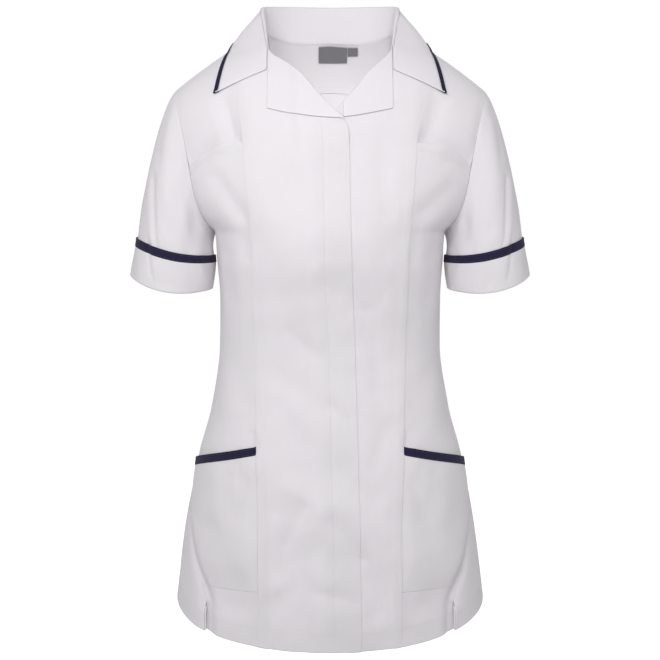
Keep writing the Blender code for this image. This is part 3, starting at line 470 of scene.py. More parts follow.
def facing_edge(grid, side):
    """The grid turned round so that the named side is its first row."""
    if side in ("first", "last"):
        grid = np.swapaxes(grid, 0, 1)
    return grid[::-1] if side in ("high", "last") else grid


def facing_back(grid, side):
    if side in ("high", "last"):
        grid = grid[::-1]
    return np.swapaxes(grid, 0, 1) if side in ("first", "last") else grid


def turned(points, out, side, depth, thick):
    """The cloth taken round one edge and back inside. out says which way is outside."""
    p, n = facing_edge(points, side), facing_edge(out, side)
    reach = np.mean(running_length(p), axis=1)
    inside = max(int(np.searchsorted(reach, depth)), 2)
    away, radius = unit(p[0] - p[1]), thick / 2
    angles = np.radians([150, 110, 70, 30])
    arc = [p[0] + radius * (away * math.sin(a) - n[0] * (1 - math.cos(a))) for a in angles]
    under = p[inside::-1] - n[inside::-1] * thick
    p = np.concatenate([under, arc, p])
    n = np.concatenate([n[inside::-1], np.repeat(n[:1], len(arc), axis=0), n])
    return facing_back(p, side), facing_back(n, side)


def grid_normals(points, tube):
    if tube:
        around = np.roll(points, -1, axis=1) - np.roll(points, 1, axis=1)
    else:
        around = np.gradient(points, axis=1)
    return unit(np.cross(around, np.gradient(points, axis=0)))


def rim(points, loop, inward, cloth, normal):
    """The rounded middle line of a cut edge."""
    away = points[loop] - points[inward]
    away = unit(away - normal[loop] * np.sum(away * normal[loop], axis=-1, keepdims=True))
    return points[loop] - normal[loop] * cloth / 2 + away * cloth / 2


def add_piece(name, vertices, faces, finish):
    """A new smooth piece from arrays of vertices and faces."""
    mesh = bpy.data.meshes.new(name)
    mesh.from_pydata(vertices, [], faces.tolist())
    mesh.update()
    mesh.shade_smooth()
    mesh.materials.append(finish)
    piece = bpy.data.objects.new(name, mesh)
    bpy.context.scene.collection.objects.link(piece)
    return piece


def shell(name, points, out, finish, tube=False, cloth=CLOTH):
    """A closed thin cloth whose outside is a grid of points. Its grain is kept in metres."""
    rows, columns = points.shape[:2]
    count = rows * columns
    normal = grid_normals(points, tube)
    middle = rows // 2, columns // 2
    if np.dot(normal[middle], out[middle]) < 0:
        normal = -normal
    index = np.arange(count).reshape(rows, columns)
    wide = np.concatenate([index, index[:, :1]], axis=1) if tube else index
    corners = wide[:-1, :-1], wide[:-1, 1:], wide[1:, 1:], wide[1:, :-1]
    quads = np.stack(corners, axis=-1).reshape(-1, 4)
    inner = index[np.clip(np.arange(rows), 1, rows - 2)]
    if tube:
        loops = [index[0], index[-1]]
    else:
        inner = inner[:, np.clip(np.arange(columns), 1, columns - 2)]
        loops = [np.concatenate([index[0], index[1:, -1], index[-1, -2::-1], index[-2:0:-1, 0]])]
    flat, flat_normal = points.reshape(-1, 3), normal.reshape(-1, 3)
    vertices, faces = [flat, flat - flat_normal * cloth], [quads, quads[:, ::-1] + count]
    sources, made = [np.arange(count)] * 2, 2 * count
    for loop in loops:
        vertices.append(rim(flat, loop, inner.ravel()[loop], cloth, flat_normal))
        sources.append(loop)
        following = np.roll(loop, -1)
        here = made + np.arange(len(loop))
        there = np.roll(here, -1)
        faces.append(np.stack([following, loop, here, there], axis=-1))
        faces.append(np.stack([there, here, loop + count, following + count], axis=-1))
        made += len(loop)
    vertices, faces = np.concatenate(vertices), np.concatenate(faces)
    piece = add_piece(name + "_cloth", vertices, faces, finish)
    a, b, c, d = (vertices[faces[:, k]] for k in range(4))
    if np.sum(a * np.cross(b, c) + a * np.cross(c, d)) < 0:  # the volume, which is negative inside out
        piece.data.flip_normals()
    grain = np.stack([running_length(points, 1), running_length(points, 0), 0 * points[..., 0]], axis=-1)
    grain = grain.reshape(-1, 3)[np.concatenate(sources)].astype(np.float32)
    layer = piece.data.attributes.new("grain", "FLOAT_VECTOR", "POINT")
    layer.data.foreach_set("vector", grain.ravel())
    return piece


print("cloth is", CLOTH * 1000, "mm thick, in rows", FINE * 1000, "mm apart")

# %% [markdown]
# ## Materials that read like arithmetic
# A material is a graph of nodes, and long graphs are hard to read as node calls. A small class
# wraps one socket, so that adding, multiplying or dividing sockets makes the Math node for it.


# %% A socket that can be used in sums
class Signal:
    def __init__(self, maker, socket):
        self.maker, self.socket = maker, socket

    def math(self, operation, *others):
        return self.maker.node("ShaderNodeMath", 0, [self, *others], operation=operation)

    def __add__(self, other):
        return self.math("ADD", other)

    def __mul__(self, other):
        return self.math("MULTIPLY", other)

    def __truediv__(self, other):
        return self.math("DIVIDE", other)

    def __rsub__(self, other):
        return self * -1 + other


class Finish:
    """A material with one Principled shader, and one method that adds any node to it."""

    def __init__(self, name, **constants):
        self.material = bpy.data.materials.new(name)
        self.material.use_nodes = True
        self.tree = self.material.node_tree
        self.shader = self.tree.nodes["Principled BSDF"]
        for socket, value in constants.items():
            self.shader.inputs[socket.replace("_", " ")].default_value = value

    def node(self, kind, output, inputs, **settings):
        """Adds a node and returns one output. inputs is a list, or a dictionary by socket name."""
        node = self.tree.nodes.new(kind)
        for setting, value in settings.items():
            setattr(node, setting, value)
        pairs = inputs.items() if isinstance(inputs, dict) else enumerate(inputs)
        for key, value in pairs:
            self.set(node.inputs[key], value)
        return Signal(self, node.outputs[output])

    def set(self, socket, value):
        if isinstance(value, Signal):
            self.tree.links.new(value.socket, socket)
        else:
            socket.default_value = value

    def feed(self, **signals):
        for socket, signal in signals.items():
            self.set(self.shader.inputs[socket.replace("_", " ")], signal)


# %% [markdown]
# ## Woven cloth
# The cloth is a plain weave of polyester and cotton. Each thread is under half a millimetre wide,
# so the weave is only seen close up, as a faint roughness. The waves run along the grain that
# each piece was cut on, which the meshes carry with them in metres. Some threads are thicker than
# others, and that keeps the weave from looking printed.


# %% Weave, colour and roughness
THREAD_RELIEF = 0.00012  # how far the threads of the weave stand up


def woven(name, colours, thread=0.00045, roughness=0.86, sheen=0.12, glow=0.0, shine=0.5):
    """Two sets of threads over and under each other, in two colours. Light soaks in by glow."""
    finish = Finish(name, Roughness=roughness, Sheen_Weight=sheen, Sheen_Roughness=0.5, IOR=1.45)
    finish.feed(Specular_IOR_Level=shine)
    finish.feed(Subsurface_Weight=glow, Subsurface_Radius=(1, 1, 1), Subsurface_Scale=0.0012)
    grain = finish.node("ShaderNodeAttribute", "Vector", {}, attribute_name="grain")
    split = finish.node("ShaderNodeSeparateXYZ", "X", [grain])
    across = split / thread
    up = Signal(finish, split.socket.node.outputs["Y"]) / thread
    uneven = finish.node("ShaderNodeTexNoise", 0, {"Vector": grain, "Scale": 90.0, "Detail": 2.0})
    cloudy = finish.node("ShaderNodeTexNoise", 0, {"Vector": grain, "Scale": 22.0, "Detail": 3.0})
    warp = (across * math.pi + uneven * 2.0).math("SINE").math("ABSOLUTE")
    weft = (up * math.pi + uneven * 2.0).math("SINE").math("ABSOLUTE")
    over = ((across.math("FLOOR") + up.math("FLOOR")) * 0.5).math("FRACT") * 2.0
    weave = warp * over + weft * (1.0 - over)
    thick = uneven * 0.5 + weave
    bump = finish.node("ShaderNodeBump", 0, {"Strength": 0.35, "Distance": THREAD_RELIEF, "Height": thick})
    share = weave * 0.45 + cloudy * 0.55
    mixed = finish.node("ShaderNodeMix", 2, {0: share, 6: colours[0], 7: colours[1]}, data_type="RGBA")
    rough = cloudy * 0.10 + (roughness - 0.05)
    finish.feed(Base_Color=mixed, Roughness=rough, Normal=bump)
    return finish.material


def plain_thread(name, colour):
    finish = Finish(name, Base_Color=colour, Sheen_Weight=0.2)
    grain = finish.node("ShaderNodeTexCoord", "Object", {})
    twist = finish.node("ShaderNodeTexNoise", 0, {"Vector": grain, "Scale": 900.0, "Detail": 1.0})
    finish.feed(Roughness=twist * 0.3 + 0.5)
    return finish.material


WHITE = (0.79, 0.766, 0.788, 1), (0.835, 0.812, 0.834, 1)
NAVY = (0.011, 0.009, 0.032, 1), (0.020, 0.017, 0.052, 1)
GREY = (0.135, 0.132, 0.14, 1), (0.215, 0.21, 0.222, 1)
white = woven("white polyester and cotton", WHITE, glow=0.3)
navy = woven("navy trim", NAVY, roughness=0.80, sheen=0.05, shine=0.2)
grey = woven("grey woven label", GREY, thread=0.0006, roughness=0.72)
white_thread = plain_thread("white thread", (0.80, 0.80, 0.81, 1))
navy_thread = plain_thread("navy thread", (0.012, 0.012, 0.036, 1))
print("finishes:", len(bpy.data.materials))

# %% [markdown]
# ## Seams, the placket and the neck line
# These lines are the pattern. Each is a short row of points over the front or the back, in metres,
# and the panels below run from one line to the next.

# %% Lines of the pattern
PRINCESS_SEAM = [
    (0.0820, -0.700), (0.0822, -0.595), (0.0834, -0.529), (0.0850, -0.474), (0.0871, -0.356),
    (0.0904, -0.256), (0.0927, -0.211), (0.0953, -0.177), (0.1005, -0.129), (0.1076, -0.070),
    (0.1150, -0.015),
]
BACK_SEAM = [
    (0.0850, -0.690), (0.0820, -0.590), (0.0760, -0.480), (0.0705, -0.360), (0.0740, -0.260),
    (0.0840, -0.170), (0.0985, -0.090), (0.1150, -0.010),
]
PLACKET_EDGE = [
    (0.0356, -0.700), (0.0343, -0.592), (0.0312, -0.471), (0.0280, -0.360), (0.0231, -0.233),
    (0.0211, -0.131), (0.0200, -0.1125), (0.0143, -0.1006),
]
UNDERLAP = 0.040
ROLL = {
    RIGHT: [
        (-0.0143, -0.1006), (-0.0057, -0.0926), (0.0109, -0.0754), (0.0282, -0.0556),
        (0.0457, -0.0390), (0.0587, -0.0305), (0.0671, -0.0243), (0.0721, -0.0144),
        (0.0745, -0.0020),
    ],
    LEFT: [
        (-0.0120, -0.1075), (0.0057, -0.0926), (0.0154, -0.0815), (0.0285, -0.0670),
        (0.0420, -0.0500), (0.0587, -0.0335), (0.0671, -0.0255), (0.0721, -0.0144),
        (0.0745, -0.0020),
    ],
}
GORGE = (0.0732, -0.0100)
NECK_POINT = 0.0760
BACK_NECK_Z = -0.003
LAYER = 0.0017
LOOSE = 0.0006
HALF_SEAM = TURN / 2 - 0.00004  # the edges of two turned pieces press together
SHOULDER_GAP = 0.0002  # from the shoulder line to the front's and to the back's cloth
HEM_STITCH_ROWS = np.array([-3.5, -1.8, -0.9, 0, 0.9, 1.8, 3.5]) * 0.001
ROW_GAP = 0.0015
sewn = {"white": [], "navy": []}  # the lines that are stitched later, by thread


def side_name(hand):
    return "right" if hand == RIGHT else "left"


def line_at(points, out, side, distance):
    """(points, normals) of the line that runs at a distance from one edge."""
    p, n = facing_edge(points, side), facing_edge(out, side)
    reach = running_length(p)
    line = [points_at(distance, reach[:, j], p[:, j]) for j in range(p.shape[1])]
    nearest = int(np.argmin(np.abs(np.mean(reach, axis=1) - distance)))
    return np.array(line), n[nearest]


def sew(points, out, side, distance, finish, closed=False):
    """Marks a row of stitches for later, at a distance from one edge."""
    line, normal = line_at(points, out, side, distance)
    if closed:
        line, normal = (np.concatenate([rows, rows[:1]]) for rows in (line, normal))
    sewn["navy" if finish == navy else "white"].append((line, normal))


def sew_and_turn(name, points, out, finish, turns, stitches, tube=False, cloth=CLOTH):
    """Marks the stitches, folds the edges in turns under, and makes the cloth."""
    for side, distance in stitches:
        sew(points, out, side, distance, finish, closed=tube)
    for side, depth, thick in turns:
        points, out = turned(points, out, side, depth, thick)
    return shell(name, points, out, finish, tube, cloth)


def panel(name, hand, face, turn, level, lift=0.0, finish=white, turns=(), stitches=(), cloth=CLOTH):
    """A piece of cloth on the form, which stays on its own side of the shoulder line."""
    points, out = form(hand, face, turn, level, lift)
    on_shoulder = np.broadcast_to(np.asarray(level) > UNDERARM_LEVEL, points.shape[:2])
    clear = face * np.maximum(face * points[..., 1], SHOULDER_GAP)
    points[..., 1] = np.where(on_shoulder, clear, points[..., 1])
    return sew_and_turn(name, points, out, finish, turns, stitches, cloth=cloth)


def rows_up(length):
    """Shares of a length up from the hem, with close rows at the hem's stitches."""
    share = steps(length)
    stitched = (HEM_DEPTH + HEM_STITCH_ROWS) / length
    gap = ROW_GAP / length
    plain = share[(share < stitched[0] - gap) | (share > stitched[-1] + gap)]
    return np.sort(np.concatenate([plain, stitched]))


SEAMS = [("first", SEAM_DEPTH, TURN), ("last", SEAM_DEPTH, TURN)]
HEM = ("low", HEM_DEPTH + 0.002, 0.0023)
HEM_STITCH = ("low", HEM_DEPTH)
print("lines of the pattern are set")


# %% [markdown]
# ## The centre fronts
# The right front lies over the left one and closes with a hidden fly. All that shows of the fly is
# a long line of stitches, three centimetres from the edge, and a slight dip along it.


# %% Centre fronts
CENTRE_WIDTH = 0.115
FRONT_EDGE_DEPTH = 0.012
UNDER_UPPER_FRONT = (-UNDERLAP - 0.024, -UNDERLAP - 0.008)  # from the edge, where the lift begins
OVERLAP_NECK_Z = (-0.160, -0.120)  # the lift doubles towards the neck
FLY_STITCH = 0.0300
FLY_ROWS = np.array([-0.002, -0.001, 0, 0.001, 0.002])
FLY_ROW_GAP = 0.010
FLY_TOP = (-0.130, -0.118)
FLY_DIP, FLY_DIP_WIDTH = 0.00035, 0.0015
EDGE_WAVE, EDGE_WAVE_LENGTH, EDGE_WAVE_START = 0.0009, 0.034, -0.128
EDGE_WAVE_MIDDLE, EDGE_WAVE_REACH, EDGE_WAVE_FADE = -0.142, 0.024, (0.004, 0.024)
SEAM_RIDGE = 0.0013  # the allowances lie under the centre panel and raise its edge
SEAM_RIDGE_SIDE, SEAM_RIDGE_TOP = (0.004, 0.013), (-0.16, -0.10)


def neck_edge(hand, level):
    """The angle of a front's inner edge: its placket edge, then its roll line."""
    roll_x, roll_z = np.array(ROLL[hand]).T
    roll_level = np.append(level_at(FRONT, roll_x, roll_z), 1.0)
    x_on_roll = spline(level, roll_level, np.append(roll_x, NECK_POINT))
    edge = [(-x, z) for x, z in PLACKET_EDGE]
    if hand == LEFT:
        edge = [(x - UNDERLAP, z) for x, z in PLACKET_EDGE]
        edge[-1] = ROLL[LEFT][0]
    below = seam_turn(FRONT, edge, level)
    above = turn_at(FRONT, level, x_on_roll)
    return np.where(level < roll_level[0], below, above)


def placket_x(z):
    """Where the edge of the upper front runs, towards the wearer's left."""
    edge_x, edge_z = np.array(PLACKET_EDGE).T
    return spline(z, edge_z, edge_x)


def overlap_lift(hand, x, z):
    """The upper front stands out over the lower one near its placket edge."""
    if hand == LEFT:
        return 0.0
    near = smooth_step(x - placket_x(z), *UNDER_UPPER_FRONT)
    return near * LAYER * (1 + smooth_step(z, *OVERLAP_NECK_Z))


def fly_relief(x, z):
    """The dip along the fly's stitches, and the soft wave of the edge under the lapel."""
    from_edge = placket_x(z) - x
    stitched = 1 - smooth_step(z, *FLY_TOP)
    dip = -FLY_DIP * stitched * bell(from_edge - FLY_STITCH, FLY_DIP_WIDTH)
    wave = EDGE_WAVE * np.sin((z - EDGE_WAVE_START) * 2 * math.pi / EDGE_WAVE_LENGTH)
    wave = wave * bell(z - EDGE_WAVE_MIDDLE, EDGE_WAVE_REACH)
    return dip + wave * (1 - smooth_step(from_edge, *EDGE_WAVE_FADE))


def centre_front(hand):
    level = (rows_up(FORM_LENGTH) * SHOULDER_LEVEL)[:, None]
    outer = seam_turn(FRONT, PRINCESS_SEAM, level)
    outer = outer + turn_per_metre(FRONT, outer, level) * HALF_SEAM
    inner = neck_edge(hand, level[:, 0])[:, None]
    across = steps(CENTRE_WIDTH)
    if hand == RIGHT:
        fly = 1 - (FLY_STITCH + FLY_ROWS) / (CENTRE_WIDTH - 0.001)
        across = across[(across < fly[-1] - FLY_ROW_GAP) | (across > fly[0] + FLY_ROW_GAP)]
        across = np.sort(np.concatenate([across, fly]))
    turn = outer + (inner - outer) * across
    level = np.repeat(level, turn.shape[1], axis=1)
    base = plain_form(hand, FRONT, turn, level)
    x, z = base[..., 0], base[..., 2]
    lift = overlap_lift(hand, x, z) + (fly_relief(x, z) if hand == RIGHT else 0)
    from_seam = (turn - outer) / turn_per_metre(FRONT, outer, level)
    beside_seam = 1 - smooth_step(from_seam, *SEAM_RIDGE_SIDE)
    lift = lift + SEAM_RIDGE * beside_seam * (1 - smooth_step(z, *SEAM_RIDGE_TOP))
    stitches = [HEM_STITCH] + ([("last", FLY_STITCH)] if hand == RIGHT else [])
    turns = [SEAMS[0], ("last", FRONT_EDGE_DEPTH, TURN), HEM]
    return panel(f"front_{side_name(hand)}", hand, FRONT, turn, level, lift, turns=turns, stitches=stitches)


for hand in BOTH:
    piece = centre_front(hand)
    print(piece.name, len(piece.data.polygons), "faces")

# %% [markdown]
# ## The side fronts and their pockets
# The side front is cut across at the chest. The lower part's top edge is the mouth of a pocket: it
# has a turned edge that stands out a little, and the upper part runs down behind it. Lower down,
# the hip pocket is let in between the two seams, so only its mouth with the navy band is free.

# %% Side fronts and hip pockets
HIP_POCKET_TOP = (-0.5007, -0.4755)
HIP_POCKET_BOTTOM = (-0.640, -0.640)
HIP_POCKET_SAG = 0.8
HIP_POCKET_STANDS = 0.0024  # how far its mouth stands out from the side front
HIP_POCKET_FULL = 0.040  # in levels above its lower edge
HIP_POCKET_SIDES = 0.10
HIP_BAND = 0.0090
HIP_BAND_STANDS = 0.0006
CHEST_POCKET_MOUTH = (-0.156, -0.1275)
CHEST_POCKET_SAG = 1.7
CHEST_POCKET_TUCK = 0.012
CHEST_POCKET_RISE = (0.004, 0.030)
MOUTH_LIFT, MOUTH_LIFT_WIDTH = 0.0013, 0.009  # the turned edge stands out
MOUTH_DIP, MOUTH_DIP_WIDTH, MOUTH_STITCH = 0.0003, 0.0014, 0.009
MOUTH_TURN = ("high", 0.014, 0.0017)
SUNK, SUNK_REACH = 0.0032, (0.004, 0.045)  # and the upper part lies deeper above it
TUCKED = (0.0007, 0.0016)  # how far behind the mouth it runs, at its ends and more in the middle
ARMHOLE_STITCH = 0.005
VENT_TOP = (0.02, 0.20)  # shares of the vent between which the front's underlap begins


def side_edge_turn(face, level):
    """The edge of a front or back at the side seam or armhole."""
    turn = edge_turn(face, level) - face * side_swing(level)
    inwards = turn_per_metre(face, np.maximum(turn, 0) + 1e-3, level) * HALF_SEAM
    if face == BACK:
        return turn + inwards
    underlap = VENT_UNDERLAP * smooth_step(vent_share(level), *VENT_TOP)
    return turn + inwards * (underlap == 0) - underlap / column("half_width", level)


def side_front_turn(across, level):
    outer = side_edge_turn(FRONT, level)
    inner = seam_turn(FRONT, PRINCESS_SEAM, level)
    inner = inner - turn_per_metre(FRONT, inner, level) * HALF_SEAM
    return outer + (inner - outer) * across


def line_level(ends, across, power=1.0):
    """Levels of a line over the side front, from its Z at the outer edge and at the princess seam."""
    z = ends[1] + (ends[0] - ends[1]) * (1 - across) ** power
    return level_where(FRONT, lambda level: side_front_turn(across, level), z)


def side_front(hand):
    side = side_name(hand)
    across = steps(0.075)
    mouth = line_level(CHEST_POCKET_MOUTH, across, CHEST_POCKET_SAG)
    pocket_top = line_level(HIP_POCKET_TOP, across, HIP_POCKET_SAG)
    band_low = line_level([z - HIP_BAND for z in HIP_POCKET_TOP], across, HIP_POCKET_SAG)
    pocket_low = line_level(HIP_POCKET_BOTTOM, across)

    def between(low, high, rows):
        level = low + (high - low) * np.asarray(rows)[:, None]
        return side_front_turn(np.broadcast_to(across, level.shape), level), level

    turn, level = between(0 * across, mouth, rows_up(FORM_LENGTH * float(np.mean(mouth))))
    from_mouth = (mouth - level) * FORM_LENGTH
    open_mouth = np.sin(across * math.pi) ** 0.6
    lift = MOUTH_LIFT * bell(from_mouth, MOUTH_LIFT_WIDTH) * open_mouth
    lift = lift - MOUTH_DIP * bell(from_mouth - MOUTH_STITCH, MOUTH_DIP_WIDTH)
    turns, stitches = [*SEAMS, MOUTH_TURN, HEM], [HEM_STITCH, ("high", MOUTH_STITCH)]
    panel(f"side_front_lower_{side}", hand, FRONT, turn, level, lift, turns=turns, stitches=stitches)

    ends = [z - CHEST_POCKET_TUCK for z in CHEST_POCKET_MOUTH]
    tucked = line_level(ends, across, CHEST_POCKET_SAG)
    turn, level = between(tucked, SHOULDER_LEVEL + 0 * across, steps(0.17))
    behind = 1 - smooth_step(level - mouth, *CHEST_POCKET_RISE)
    sunk = SUNK * open_mouth * (1 - smooth_step((level - mouth) * FORM_LENGTH, *SUNK_REACH))
    lift = -(TUCKED[0] + TUCKED[1] * open_mouth) * behind - sunk
    stitches = [("first", ARMHOLE_STITCH)]
    panel(f"side_front_upper_{side}", hand, FRONT, turn, level, lift, turns=SEAMS, stitches=stitches)

    at_seam = smooth_step(np.minimum(across, 1 - across), 0, HIP_POCKET_SIDES)
    turn, level = between(pocket_low, band_low, steps(0.145))
    fullness = smooth_step(level, pocket_low, pocket_low + HIP_POCKET_FULL)
    panel(f"hip_pocket_{side}", hand, FRONT, turn, level, CLOTH + HIP_POCKET_STANDS * at_seam * fullness)

    turn, level = between(band_low + 0.0001 / FORM_LENGTH, pocket_top, steps(HIP_BAND, 0.0015))
    rise = HIP_POCKET_STANDS + HIP_BAND_STANDS * (level - band_low) / (pocket_top - band_low)
    lift = CLOTH + HIP_BAND_STANDS + rise * at_seam
    turns, stitches = [("high", HIP_BAND * 0.8, TURN)], [("low", 0.0012), ("high", 0.0015)]
    panel(f"hip_pocket_band_{side}", hand, FRONT, turn, level, lift, navy, turns, stitches)


for hand in BOTH:
    side_front(hand)
    print("side front", side_name(hand), "with its chest and hip pockets")

# %% [markdown]
# ## The back
# The back isn't seen in the photograph, so it is cut the way the front is: a centre back between
# two long seams, and two side backs. A facing finishes the neck on the inside, and the label and
# the size tab hang there. Both are left plain.

# %% Back, facing and labels
FACING_DEPTH = 0.056
LABEL_SIZE = (0.0350, 0.0200)
TAB_SIZE = (0.0120, 0.0120)
LABEL_X = (-0.0140, 0.0222)
LABEL_TOP = 0.001
LABEL_LIFT = -(2 * LAYER + LOOSE)
NECK_ROUND = 2.6  # how square the curve of the back neck is
NECK_COLUMNS = 56


def back_neck_level(x):
    """The level of the back neck seam, from the neck point down to the centre."""
    low = level_at(BACK, 0.0, BACK_NECK_Z)
    share = np.clip(np.abs(x) / NECK_POINT, 0, 1)
    return low + (SHOULDER_LEVEL - low) * (1 - np.sqrt(1 - share**NECK_ROUND))


def back_seam_turn(level, gap):
    turn = seam_turn(BACK, BACK_SEAM, level)
    return turn + turn_per_metre(BACK, turn, level) * gap


def centre_back_grid(low, high, rows, across):
    level = low + (high - low) * np.asarray(rows)[:, None]
    edge = back_seam_turn(level, HALF_SEAM)
    return edge + (math.pi - 2 * edge) * across, level


def side_back(hand):
    level = (rows_up(FORM_LENGTH) * SHOULDER_LEVEL)[:, None]
    edge, seam = side_edge_turn(BACK, level), back_seam_turn(level, -HALF_SEAM)
    turn = edge + (seam - edge) * steps(0.085)
    level = np.repeat(level, turn.shape[1], axis=1)
    name, turns = f"side_back_{side_name(hand)}", [*SEAMS, HEM]
    return panel(name, hand, BACK, turn, level, turns=turns, stitches=[HEM_STITCH])


for hand in BOTH:
    print(side_back(hand).name)

facing_level = float(level_at(BACK, 0.0, BACK_NECK_Z - FACING_DEPTH))
edge = float(back_seam_turn(1.0, HALF_SEAM))
neck = (float(turn_at(BACK, 1.0, NECK_POINT)) - edge) / (math.pi - 2 * edge)
ends = steps(1.0, 0.13) * neck
middle = np.linspace(neck, 1 - neck, NECK_COLUMNS)
across = np.concatenate([ends[:-1], middle, 1 - ends[-2::-1]])
x = plain_form(RIGHT, BACK, edge + (math.pi - 2 * edge) * across, 1.0)[..., 0]
top = np.where(np.abs(x) < NECK_POINT - 1e-6, back_neck_level(x), SHOULDER_LEVEL)
flat = np.ones(across.shape)
low_rows = rows_up(FORM_LENGTH * facing_level)
body = centre_back_grid(0 * flat, facing_level * flat, low_rows[low_rows < 1 - 0.002 / FORM_LENGTH], across)
neck_part = centre_back_grid(facing_level * flat, top, steps(0.05), across)
turn, level = (np.concatenate([body[k], neck_part[k]]) for k in (0, 1))
panel("back", RIGHT, BACK, turn, level, turns=[*SEAMS, HEM], stitches=[HEM_STITCH])
inside = slice(len(ends) // 2, -(len(ends) // 2))
facing = neck_part[0][:, inside], neck_part[1][:, inside]
turns, stitches = [("low", 0.006, TURN)], [("low", 0.004)]
panel("back_neck_facing", RIGHT, BACK, *facing, -LAYER, turns=turns, stitches=stitches)
for name, left_x, (width, drop) in zip(("neck_label", "size_tab"), LABEL_X, (LABEL_SIZE, TAB_SIZE)):
    x = -(left_x + width * steps(width, 0.001))
    top = back_neck_level(x) - LABEL_TOP
    low = level_at(BACK, x, BACK_NECK_Z - drop)
    level = low + (top - low) * steps(drop, 0.001)[:, None]
    turn = turn_at(BACK, level, np.broadcast_to(x, level.shape))
    panel(name, RIGHT, BACK, turn, level, lift=LABEL_LIFT, finish=grey, cloth=0.0004)
print("back, facing, label and tab")

# %% [markdown]
# ## Sleeves with turned-up cuffs
# A sleeve is a tube that leaves the armhole outwards and bends down to the cuff. Its length and its
# bend differ round the arm, so it is drawn as a bundle of smooth lines from the armhole to the end.
# The cuff is one strip that wraps round that end, and the navy band lies along its top.

# %% Sleeve shapes
CUFF_CENTRE = (0.1896, 0.001, -0.2905)
CUFF_HALF = (0.0480, 0.0570)
CUFF_TILT = math.radians(9.5)
CUFF_DIP = (0.0095, 0.0060)
CUFF_DEPTH = (0.0405, 0.0465)
CUFF_DEPTH_FRONT = 0.0042
CUFF_BAND = 0.0090
SLEEVE_SIDEWAYS = (0.27, 0.54)
SLEEVE_FORWARD = 0.30
SLEEVE_DOWN = (0.95, 0.80)
SLEEVE_LEAVE = (0.10, 0.16)
SLEEVE_ARRIVE = 0.16
SLEEVE_COLUMNS = 150
SLEEVE_HILLS = 0.0005
SLEEVE_FADE = (0.012, 0.020)  # from the armhole, and from the end
ARM_RADIUS = 0.052  # turns degrees into lengths for the creases
INNER_ANGLE, INNER_WIDTH = 172, 34  # the inner edge comes nearer to the body above the cuff
INNER_LIFT, INNER_ABOVE_END, INNER_LENGTH = 0.0018, 0.048, 0.022
# (degrees round the arm, distance from the armhole in metres) at both ends, half width, depth
SLEEVE_CREASES = [
    (38, 0.088, 62, 0.128, 0.0075, 0.0023), (75, 0.105, 58, 0.132, 0.0070, -0.0014),
    (100, 0.020, 88, 0.085, 0.0105, 0.0018), (140, 0.015, 120, 0.070, 0.0085, 0.0018),
    (165, 0.010, 150, 0.060, 0.0075, 0.0012), (20, 0.015, 30, 0.055, 0.0095, 0.0013),
    (255, 0.015, 270, 0.090, 0.0115, 0.0022), (225, 0.010, 240, 0.065, 0.0095, 0.0026),
    (200, 0.010, 214, 0.055, 0.0075, 0.0021), (300, 0.090, 280, 0.130, 0.0075, 0.0019),
    (330, 0.060, 318, 0.110, 0.0095, -0.0013), (52, 0.148, 66, 0.166, 0.0048, 0.0014),
    (96, 0.138, 80, 0.160, 0.0050, 0.0014), (290, 0.140, 305, 0.162, 0.0060, 0.0013),
]


def armhole_ring(hand, count):
    """Points round the armhole, from the shoulder down the front to the underarm and up the back."""
    level = np.linspace(UNDERARM_LEVEL, 1, 400)
    front = plain_form(hand, FRONT, edge_turn(FRONT, level), level)
    back = plain_form(hand, BACK, edge_turn(BACK, level), level)
    loop = np.concatenate([front[::-1], back[1:-1]])
    return resample(np.concatenate([loop, loop[:1]]), count, closed=True)


def sleeve_lines(hand):
    """Smooth lines from the armhole to the end of the sleeve, one for each angle round it."""
    angle = np.linspace(0, 2 * math.pi, SLEEVE_COLUMNS, endpoint=False)
    start = armhole_ring(hand, SLEEVE_COLUMNS)
    axis = np.array([hand * math.sin(CUFF_TILT), 0, -math.cos(CUFF_TILT)])
    outward = np.array([hand * math.cos(CUFF_TILT), 0, math.sin(CUFF_TILT)])
    forward = np.array([0, -1.0, 0])
    cos, sin = np.cos(angle)[:, None], np.sin(angle)[:, None]
    dip = np.where(sin > 0, CUFF_DIP[0], CUFF_DIP[1]) * sin**2
    centre = np.array(CUFF_CENTRE) * (hand, 1, 1)
    end = centre + CUFF_HALF[0] * cos * outward + CUFF_HALF[1] * sin * forward + dip * axis
    top = np.abs(np.cos(angle / 2))[:, None]

    def from_underarm(pair, share):
        return pair[0] + (pair[1] - pair[0]) * share

    sideways = from_underarm(SLEEVE_SIDEWAYS, top) * np.array([hand, 0, 0])
    down = from_underarm(SLEEVE_DOWN, top**2) * np.array([0, 0, -1.0])
    leave = unit(sideways + SLEEVE_FORWARD * sin * forward + down) * from_underarm(SLEEVE_LEAVE, top**2)
    s = np.linspace(0, 1, 121)[:, None, None]
    return angle, smooth_join(s, start, leave, end, axis * SLEEVE_ARRIVE)


def sleeve_grid(hand, rows_of):
    """Points and distances on the sleeve. rows_of gives distances from (total length, cuff depth)."""
    angle, line = sleeve_lines(hand)
    length = running_length(line)
    columns, distances = [], []
    for j, turn in enumerate(angle):
        cuff = CUFF_DEPTH[0] + (CUFF_DEPTH[1] - CUFF_DEPTH[0]) * (1 + math.cos(turn)) / 2
        cuff += CUFF_DEPTH_FRONT * max(math.sin(turn), 0) ** 2
        at = rows_of(length[-1, j], cuff)
        columns.append(points_at(at, length[:, j], line[:, j]))
        distances.append(at)
    points = np.stack(columns, axis=1)
    normal = grid_normals(points, tube=True) * hand
    far = np.stack(distances, axis=1)
    total = np.broadcast_to(length[-1], far.shape)
    return points + normal * sleeve_relief(np.degrees(angle), far, total)[..., None], normal


